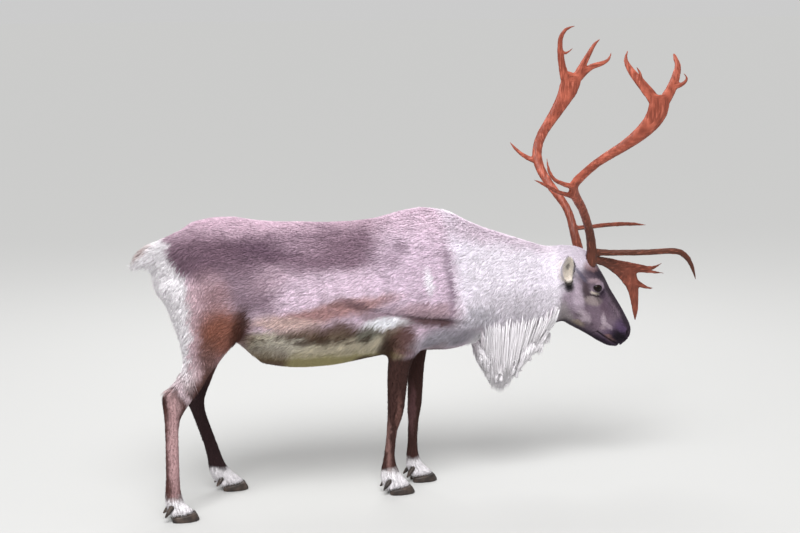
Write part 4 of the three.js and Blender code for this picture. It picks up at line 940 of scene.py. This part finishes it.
def unwrap_place(points):
    """Place of each point on an unwrap of the skin: a strip for each limb, the trunk and the head."""
    x, y, z = points.T
    u, v, w = head_place(points)
    place = np.zeros((len(points), 2))
    around = (np.arctan2(y, z - 0.82) / (2 * math.pi)) % 1
    place[:, 0] = 0.02 + 0.58 * np.clip((x + 1.17) / 1.85, 0, 1)
    place[:, 1] = 0.02 + 0.56 * around
    head = (x > 0.56) & (z > 0.5)
    turned = (np.arctan2(w, v + 0.11) / (2 * math.pi)) % 1
    place[head, 0] = 0.63 + 0.34 * np.clip((u[head] + 0.12) / 0.58, 0, 1)
    place[head, 1] = 0.02 + 0.46 * turned[head]
    for number, (middle, across) in enumerate(((-0.96, -1), (-0.8, 1), (-0.13, -1), (0.0, 1))):
        leg = (z < 0.6) & (np.abs(x - middle) < 0.24) & (np.sign(y + 0.0085) == across) & (x < 0.2)
        lean = np.arctan2(y - across * 0.12, x - middle)
        place[leg, 0] = 0.02 + 0.24 * number + 0.2 * ((lean[leg] / (2 * math.pi)) % 1)
        place[leg, 1] = 0.62 + 0.35 * z[leg] / 0.6
    return place


def close_strands(name, points, faces, tips, tones, marks, patch, roots):
    """One mesh of like strands, with numbers for its material and a map with a patch for each."""
    count, per = points.shape[:2]
    centre = points[0].mean(axis=0)
    a, b, c = (points[0][faces[:, i]] - centre for i in range(3))
    if np.sum(a * np.cross(b, c)) < 0:
        faces = faces[:, ::-1]
    all_faces = (faces[None] + (np.arange(count) * per)[:, None, None]).reshape(-1, 3)
    piece = new_piece(name, points.reshape(-1, 3), all_faces)
    add_values(piece, {"tip": np.tile(tips, count), "tone": np.repeat(tones, per)})
    add_values(piece, {key: np.repeat(values, per) for key, values in marks.items()})
    layer = piece.data.attributes.new("root", "FLOAT_VECTOR", "POINT")
    layer.data.foreach_set("vector", np.repeat(roots, per, axis=0).astype(np.float32).ravel())
    place = (unwrap_place(roots)[:, None] + patch[None]).reshape(-1, 2)
    layer = piece.data.uv_layers.new(name="OFBake")
    layer.data.foreach_set("uv", place[all_faces.ravel()].astype(np.float32).ravel())
    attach(piece, "root")
    return piece


def tube_faces(sides, rings):
    """Faces of a strand with its root closed and its tip a point."""
    faces = [(0, i + 1, i) for i in range(1, sides - 1)]
    for ring in range(rings - 1):
        for i in range(sides):
            low, high = ring * sides + i, ring * sides + (i + 1) % sides
            faces.append((low, high, high + sides))
            faces.append((low, high + sides, low + sides))
    top = (rings - 1) * sides
    return np.array(faces + [(top + i, top + (i + 1) % sides, top + sides) for i in range(sides)])


def patch_of(sides, rings):
    """A strand's own patch of its map, about 0.003 across."""
    patch = []
    for ring in range(rings):
        down = 0.003 * (ring / rings - 0.5)
        patch += [(0.003 * (i / (sides - 1) - 0.5), down + 0.0004 * (i % 2)) for i in range(sides)]
    return np.array(patch + [(0, 0.0015)])


def gather(roots, normals, lie, size):
    """How far each tuft leans sideways to the middle of its clump, and the clump's own tone."""
    wander = np.stack([sway(roots, 0.03, k) for k in (0.3, 1.9, 3.1)], axis=1)
    keys = np.floor(roots / size + wander * 0.6).astype(int)
    index = np.unique(keys, axis=0, return_inverse=True)[1].reshape(-1)
    count = np.bincount(index)
    middle = np.stack([np.bincount(index, roots[:, i]) / count for i in range(3)], axis=1)[index]
    across = np.cross(lie, normals)
    pull = np.sum((middle - roots) * across, axis=1, keepdims=True) * across
    return pull, rng.random(len(count))[index]


def ripples(points):
    """Fine, wavering rows across the side of the body, from 0 to 1."""
    rows = points[:, 0] * 420 + points[:, 2] * 260
    rows += sway(points, 0.06, 2.2) * 5
    rows += sway(points, 0.02, 0.4) * 2.5
    return 0.5 + 0.5 * np.sin(rows)


def grow(name, roots, normals, lie, sizes, rings, clump, sink, picked):
    """Tufts of fur: thin, closed, tapered blades that leave the skin at a slant and lie along the coat."""
    length, width, lift = sizes
    count = len(roots)
    across = np.cross(lie, normals)
    pull, clump_tone = gather(roots, normals, lie, clump)
    rows = []
    steps = np.linspace(0, 1, rings + 1)
    for t in steps[:-1]:
        rise = lift * math.sin(math.pi / 2 * min(1.0, t * 1.35)) - sink * (1 - t) ** 2
        middle = roots + lie * (length * t)[:, None] + normals * rise[:, None] + pull * (0.7 * t * t)
        half = (width * (0.5 if t else 0.42) * (1 - 0.35 * t))[:, None]
        rows += [middle - across * half, middle + across * half, middle + normals * half * 2 * BLADE_DEPTH]
    rows.append(roots + lie * length[:, None] + normals * lift[:, None] + pull * 0.7)
    tones = np.clip(0.38 * rng.random(count) + 0.34 * clump_tone + 0.28 * ripples(roots), 0, 1)
    tips = np.repeat(steps[:-1], 3).tolist() + [1.0]
    points = np.stack(rows, axis=1)
    return close_strands(name, points, tube_faces(3, rings), tips, tones, picked, patch_of(3, rings), roots)


def scatter(corners, density, values):
    """Roots spread over faces of the skin, as many to the square metre as the density says."""
    a, b, c = (skin_points[corners[:, i]] for i in range(3))
    area = np.linalg.norm(np.cross(b - a, c - a), axis=1) / 2
    cell = np.floor((a + b + c) / 3 / 0.02).astype(int)
    order = np.lexsort((cell[:, 2], cell[:, 1], cell[:, 0]))
    total = np.cumsum((area * density)[order])
    places = np.arange(0.5, total[-1], 1.0)
    places = places + rng.uniform(-0.45, 0.45, len(places))
    chosen = order[np.clip(np.searchsorted(total, places), 0, len(order) - 1)]
    r1, r2 = np.sqrt(rng.random(len(chosen))), rng.random(len(chosen))
    shares = np.stack([1 - r1, r1 * (1 - r2), r1 * r2], axis=1)
    index = corners[chosen]
    roots = np.einsum("nk,nkd->nd", shares, skin_points[index])
    lean = unit(np.einsum("nk,nkd->nd", shares, skin_normals[index]))
    return roots, lean, {key: np.sum(shares * numbers[index], axis=1) for key, numbers in values.items()}


def throat_top(place):
    """Height of the throat's lower edge along the neck."""
    return np.interp(place, THROAT[:, 0], THROAT[:, 1])


middles = skin_points[skin_faces].mean(axis=1)
mx, _, mz = middles.T
mu, mv, _ = head_place(middles)
on_ear = is_ear[skin_faces].all(axis=1)
ragged = mx + rng.uniform(-0.03, 0.03, len(middles))
on_head = (ragged > HEAD_START) & (mz > 0.5) & (mu > -0.09) & ~on_ear
on_leg = (mz < LEG_TOP) & (mx < 0.22)
on_beard = (mx > THROAT[0, 0]) & (mx < THROAT[-1, 0]) & (mz < throat_top(mx)) & (mz > 0.3)
on_neck = (mx > 0.1) & ~on_head & ~on_leg & ~on_ear & ~on_beard
on_rump = (mx < -0.95) & (mz > 0.5)
on_trunk = ~on_head & ~on_leg & ~on_neck & ~on_rump & ~on_ear & ~on_beard
bare = near_eyes(middles, 0.0165) | (line_distance(mu, mv, MOUTH_LINE) < 0.004)
bare |= np.hypot(mu - NOSTRIL[0], mv - NOSTRIL[1]) < 0.012

fur_material = make_fur_material()


def add_fur(name, where, density, sizes, rings=2, parts=1, clump=0.014, sink=0.0025):
    """Tufts of one size over part of the skin, in as many pieces as keep each one light."""
    length, width, lift = sizes
    ear = name == "fur_ears"
    roots, lean, values = scatter(skin_faces[where], density, marks if ear else {})
    lie = lie_of(roots, lean, float(ear))
    lie = unit(lie + np.cross(lean, lie) * rng.normal(0, LIE_SPREAD, len(roots))[:, None])
    foot = ramp(roots[:, 2], 0.12, 0.07)
    cheek = ramp(roots[:, 0], 0.42, 0.57) * (name == "fur_neck")
    size = length * rng.uniform(0.75, 1.2, len(roots)) * (1 + 0.9 * foot) * (1 - 0.6 * cheek)
    wide = width * rng.uniform(0.75, 1.2, len(roots)) * (1 - 0.35 * cheek)
    high = lift * rng.uniform(0.7, 1.15, len(roots)) * (1 - 0.65 * cheek)
    for number, group in enumerate(np.array_split(np.arange(len(roots)), parts)):
        label = f"{name}_{number + 1}" if parts > 1 else name
        picked = {key: numbers[group] for key, numbers in values.items()}
        tuft = (size[group], wide[group], high[group])
        piece = grow(label, roots[group], lean[group], lie[group], tuft, rings, clump, sink, picked)
        piece.data.materials.append(fur_material)


add_fur("fur_trunk", on_trunk, 40000, (0.026, 0.0024, 0.006), parts=4)
add_fur("fur_neck", on_neck, 56000, (0.034, 0.0021, 0.0075), parts=3, clump=0.018)
add_fur("fur_rump", on_rump, 40000, (0.038, 0.0024, 0.0085), clump=0.018)
add_fur("fur_legs", on_leg, 66000, (0.013, 0.0019, 0.0022), rings=1, sink=0.001)
add_fur("fur_head", on_head & ~bare, 190000, (0.0085, 0.0013, 0.002), rings=1, sink=0.0006)
add_fur("fur_ears", on_ear, 190000, (0.01, 0.0013, 0.0026), rings=1, sink=0.0006)


# The beard: fine locks that hang from the throat
def hang(name, count):
    """Fine, flat locks, each bending from its root to hang straight down."""
    place, heights = skin_points[:, 0], skin_points[:, 2]
    top = throat_top(place)
    inside = (place > THROAT[0, 0]) & (place < THROAT[-1, 0]) & (heights > 0.3)
    wanted = inside * ramp(heights - top, 0.11, 0.03) * ramp(heights - top, -0.09, -0.05)
    chosen = rng.choice(len(skin_points), count, p=wanted / wanted.sum())
    root = skin_points[chosen] + rng.normal(0, 0.003, (count, 3)) - skin_normals[chosen] * 0.004
    along, start = root[:, 0], root[:, 2]
    out = (root[:, 1] - POLL[1]) / 0.09
    tip_x = np.interp(along, THROAT[:, 0], THROAT[:, 2])
    tip_z = np.interp(along, THROAT[:, 0], THROAT[:, 3])
    left = np.clip((start - tip_z) / (top[chosen] - tip_z), 0, 1)
    fall = (start - tip_z) * (0.62 + 0.4 * np.sqrt(rng.random(count))) * (1 - 0.1 * np.abs(out))
    fall = np.maximum(fall, rng.uniform(0.025, 0.045, count))
    end_x = along + (tip_x - along) * left + rng.normal(0, 0.004, count)
    tip = np.stack([end_x, POLL[1] + out * 0.022 + rng.normal(0, 0.004, count), start - fall], axis=1)
    lean = along + 0.3 * (end_x - along) + rng.normal(0, 0.003, count)
    bend = np.stack([lean, root[:, 1] + out * 0.012, start - 0.35 * fall], axis=1)
    width = rng.uniform(0.0022, 0.0044, count)
    turned = rng.normal(0, 0.18, count)
    facing = unit(np.stack([turned, np.where(out < 0, -1.0, 1.0), np.full(count, 0.1)], axis=1))
    profile = [(0, 1.1), (0.35, 1), (0.7, 0.75)]
    rows = []
    for t, share in profile:
        middle = root * (1 - t) ** 2 + bend * (2 * t * (1 - t)) + tip * t * t
        tangent = unit((bend - root) * (1 - t) + (tip - bend) * t)
        across = unit(np.cross(facing, tangent))
        face = np.cross(tangent, across)
        half = (width * share / 2)[:, None]
        rows += [middle - across * half, middle + face * half * 0.4, middle + across * half]
    points = np.stack([*rows, tip], axis=1)
    tips = np.repeat([p[0] for p in profile], 3).tolist() + [1.0]
    faces = tube_faces(3, len(profile))
    tones = rng.random(count)
    below = root - (0.03, 0, 0.07)
    return close_strands(name, points, faces, tips, 0.3 + 0.3 * tones, {}, patch_of(3, len(profile)), below)


beard = hang("beard", BEARD_LOCKS)
beard.data.materials.append(fur_material)


# Antlers: each a single smooth horn over its solids
def make_antler_material():
    """Red-brown horn, darker towards its foot and darker still, as painted shade, on the right antler's
    foot, with grooves, mottling and painted highlights along the grain.
    """
    shader = Shader("antler_horn", 0.5, 0.3)
    shader.here = shader.place()
    height = shader.along((0, 0, 1))
    side = shader.along((0, 1, 0))
    grain = shader.attribute("grain")
    mottle = shader.noise(16.0, 4.0)
    fine = shader.noise(90.0, 3.0)
    colour = shader.mix(shader.step(mottle + grain * 0.5, -0.25, 0.4), tint(124, 58, 42), tint(172, 90, 70))
    dark = shader.step(height, 1.22, 0.98)
    # Darker towards the foot, and darker still on the right antler, nearer the camera, as painted shade
    colour = shader.mix(dark * (0.45 + shader.step(side, 0.0, -0.06) * 0.35), colour, tint(52, 30, 18))
    colour = shader.mix(shader.step(grain, -0.1, -0.45) * 0.2, colour, tint(84, 40, 28))
    # Painted highlights along the raised grain
    colour = shader.mix(shader.step(grain + fine * 0.5, 0.2, 0.55) * 0.2, colour, tint(204, 124, 102))
    shader.colour(colour)
    shader.bump(grain + fine * 0.25, 0.4, 0.002)
    return shader.material


def streak(points, edges, normals, rounds):
    """Random streaks that run along a horn, for its grooves."""
    count = len(points)
    share = np.bincount(edges.ravel(), minlength=count)
    lean = {(i, j): normals[:, i] * normals[:, j] for i in range(3) for j in range(i, 3)}
    for key in lean:
        for _ in range(rounds):
            total = np.bincount(edges[:, 0], lean[key][edges[:, 1]], count)
            total += np.bincount(edges[:, 1], lean[key][edges[:, 0]], count)
            lean[key] = 0.4 * lean[key] + 0.6 * total / share
    spread = np.zeros((count, 3, 3))
    for (i, j), values in lean.items():
        spread[:, i, j] = values
        spread[:, j, i] = values
    axis = np.linalg.eigh(spread)[1][:, :, 0]
    run = unit(points[edges[:, 1]] - points[edges[:, 0]])
    pull = np.abs(np.sum(run * axis[edges[:, 0]], axis=1)) ** 6 + 0.01
    grain = rng.normal(0, 1, count)
    weight = np.bincount(edges[:, 0], pull, count) + np.bincount(edges[:, 1], pull, count)
    for _ in range(rounds):
        total = np.bincount(edges[:, 0], grain[edges[:, 1]] * pull, count)
        total += np.bincount(edges[:, 1], grain[edges[:, 0]] * pull, count)
        grain = 0.4 * grain + 0.6 * total / weight
    return grain / grain.std()


def make_antler(side, material):
    """One smooth, grooved horn over its solids."""
    nodes = sorted(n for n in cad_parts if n.startswith(f"antler_{side}_"))
    antler = copy_nodes(f"horn_{side}", nodes, swell=0.0008)
    remesh(antler, ANTLER_VOXEL)
    soften(antler, 14, 0.6)
    points = points_of(antler)
    normals = normals_of(antler)
    grain = streak(points, edges_of(antler), normals, 14)
    set_points(antler, points + normals * (grain * 0.0003)[:, None])
    add_values(antler, {"grain": grain * 0.25})
    settle(antler, material, nodes)


antler_material = make_antler_material()
for side in SIDES:
    make_antler(side, antler_material)


# Hooves and dewclaws
def make_hoof_material():
    """Dark horn with rings and worn patches."""
    shader = Shader("hoof_horn", 0.5, 0.4)
    shader.here = shader.place()
    wear = shader.noise(30.0, 4.0)
    rings = shader.noise(120.0, 2.0, (0.2, 0.2, 1.0))
    shader.colour(shader.mix(shader.step(wear, -0.2, 0.35), tint(34, 27, 25), tint(84, 70, 62)))
    shader.bump(rings + wear * 0.3, 0.4, 0.001)
    return shader.material


def make_hooves():
    """All claws, smoothed over their solids, as one piece."""
    nodes = sorted(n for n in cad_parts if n.startswith(("hoof_", "dewclaw_")))
    claws = []
    for node in nodes:
        claw = copy_nodes(f"part_{node}", [node], swell=0.0002)
        remesh(claw, DEWCLAW_VOXEL if node.startswith("dew") else HOOF_VOXEL)
        soften(claw, 4, 0.7)
        claws.append(claw)
    take_hold(claws[0])
    for claw in claws:
        claw.select_set(True)
    bpy.ops.object.join()
    hooves = claws[0]
    hooves.name = "hooves"
    settle(hooves, make_hoof_material(), nodes)


make_hooves()


# Eyes: a dark, wet ball with a level pupil
def make_eye_material():
    """The pupil and the iris, by distance from the middle of the eye."""
    shader = Shader("eye_wet", 0.06, 0.14)
    shader.here = shader.place()
    down = shader.along(ALONG_FACE, POLL) - EYE["u"]
    out = shader.along(OFF_FACE, POLL) - EYE["v"]
    level = down * math.sin(HEAD_TILT) - out * math.cos(HEAD_TILT)
    ahead = down * math.cos(HEAD_TILT) + out * math.sin(HEAD_TILT)
    ring = (level * level) * 6.0 + ahead * ahead
    iris = shader.mix(shader.step(ring, 0.00011, 0.00005), tint(24, 15, 12), tint(6, 5, 6))
    far = level * level + ahead * ahead
    shader.colour(shader.mix(shader.step(far, 0.00016, 0.00022), iris, tint(16, 11, 11)))
    return shader.material


eye_material = make_eye_material()
for side, sign in SIDES.items():
    middle = head_point(EYE["u"], EYE["v"], sign * EYE["out"])
    ball = add_ball(middle, EYE["radius"], 48, 24)
    ball.name = f"eyeball_{side}"
    bpy.ops.object.shade_smooth()
    settle(ball, eye_material, [f"eye_{side}"])

# Floor, light and camera
clear_selection()
bpy.ops.mesh.primitive_plane_add(size=FLOOR_SIZE, location=(0, 0, 0))
floor = bpy.context.object
floor.name = "floor"
shader = Shader("floor_pale", 1.0, 0.0)
shader.colour(tint(190, 190, 189))
floor.data.materials.append(shader.material)

world = bpy.data.worlds.new("studio")
world.use_nodes = True
sky = world.node_tree.nodes["Background"]
sky.inputs["Color"].default_value = (1, 1, 1, 1)
sky.inputs["Strength"].default_value = SKY_LIGHT
bpy.context.scene.world = world
bpy.context.scene.view_settings.view_transform = "Standard"


def add_light(name, kind, place, target, size, power):
    """A soft light, whose size is metres for an area and radians for the sky's key light."""
    lamp = bpy.data.lights.new(name, kind)
    lamp.energy = power
    if kind == "AREA":
        lamp.shape = "DISK"
        lamp.size = size
    else:
        lamp.angle = size
    holder = bpy.data.objects.new(name, lamp)
    bpy.context.scene.collection.objects.link(holder)
    holder.location = place
    holder.rotation_euler = (Vector(target) - Vector(place)).to_track_quat("-Z", "Y").to_euler()


add_light("sky_key", "SUN", (-1.5, -3.6, 5.0), (0, 0, 0.9), math.radians(35), 2.45)
add_light("key", "AREA", (-1.2, -2.8, 5.0), (0, 0, 0.9), 3.0, 150)
add_light("back", "AREA", (0.6, 3.6, 4.4), (0, 0, 1.0), 3.0, 90)


def add_camera():
    """A camera at its place, looking at its aim, rolled a little about its view."""
    view = unit(CAMERA_AIM - CAMERA_PLACE)
    level = unit(np.cross(view, UPWARD))
    upright = np.cross(level, view)
    right = level * math.cos(CAMERA_ROLL) - upright * math.sin(CAMERA_ROLL)
    over = level * math.sin(CAMERA_ROLL) + upright * math.cos(CAMERA_ROLL)
    lens = bpy.data.cameras.new("camera")
    lens.lens = FOCAL_LENGTH
    lens.sensor_width = SENSOR_WIDTH
    lens.clip_start = 0.1
    lens.clip_end = 1200
    camera = bpy.data.objects.new("camera", lens)
    bpy.context.scene.collection.objects.link(camera)
    turn = Matrix([[right[i], over[i], -view[i]] for i in range(3)]).to_4x4()
    turn.translation = Vector(CAMERA_PLACE)
    camera.matrix_world = turn
    bpy.context.scene.camera = camera


add_camera()
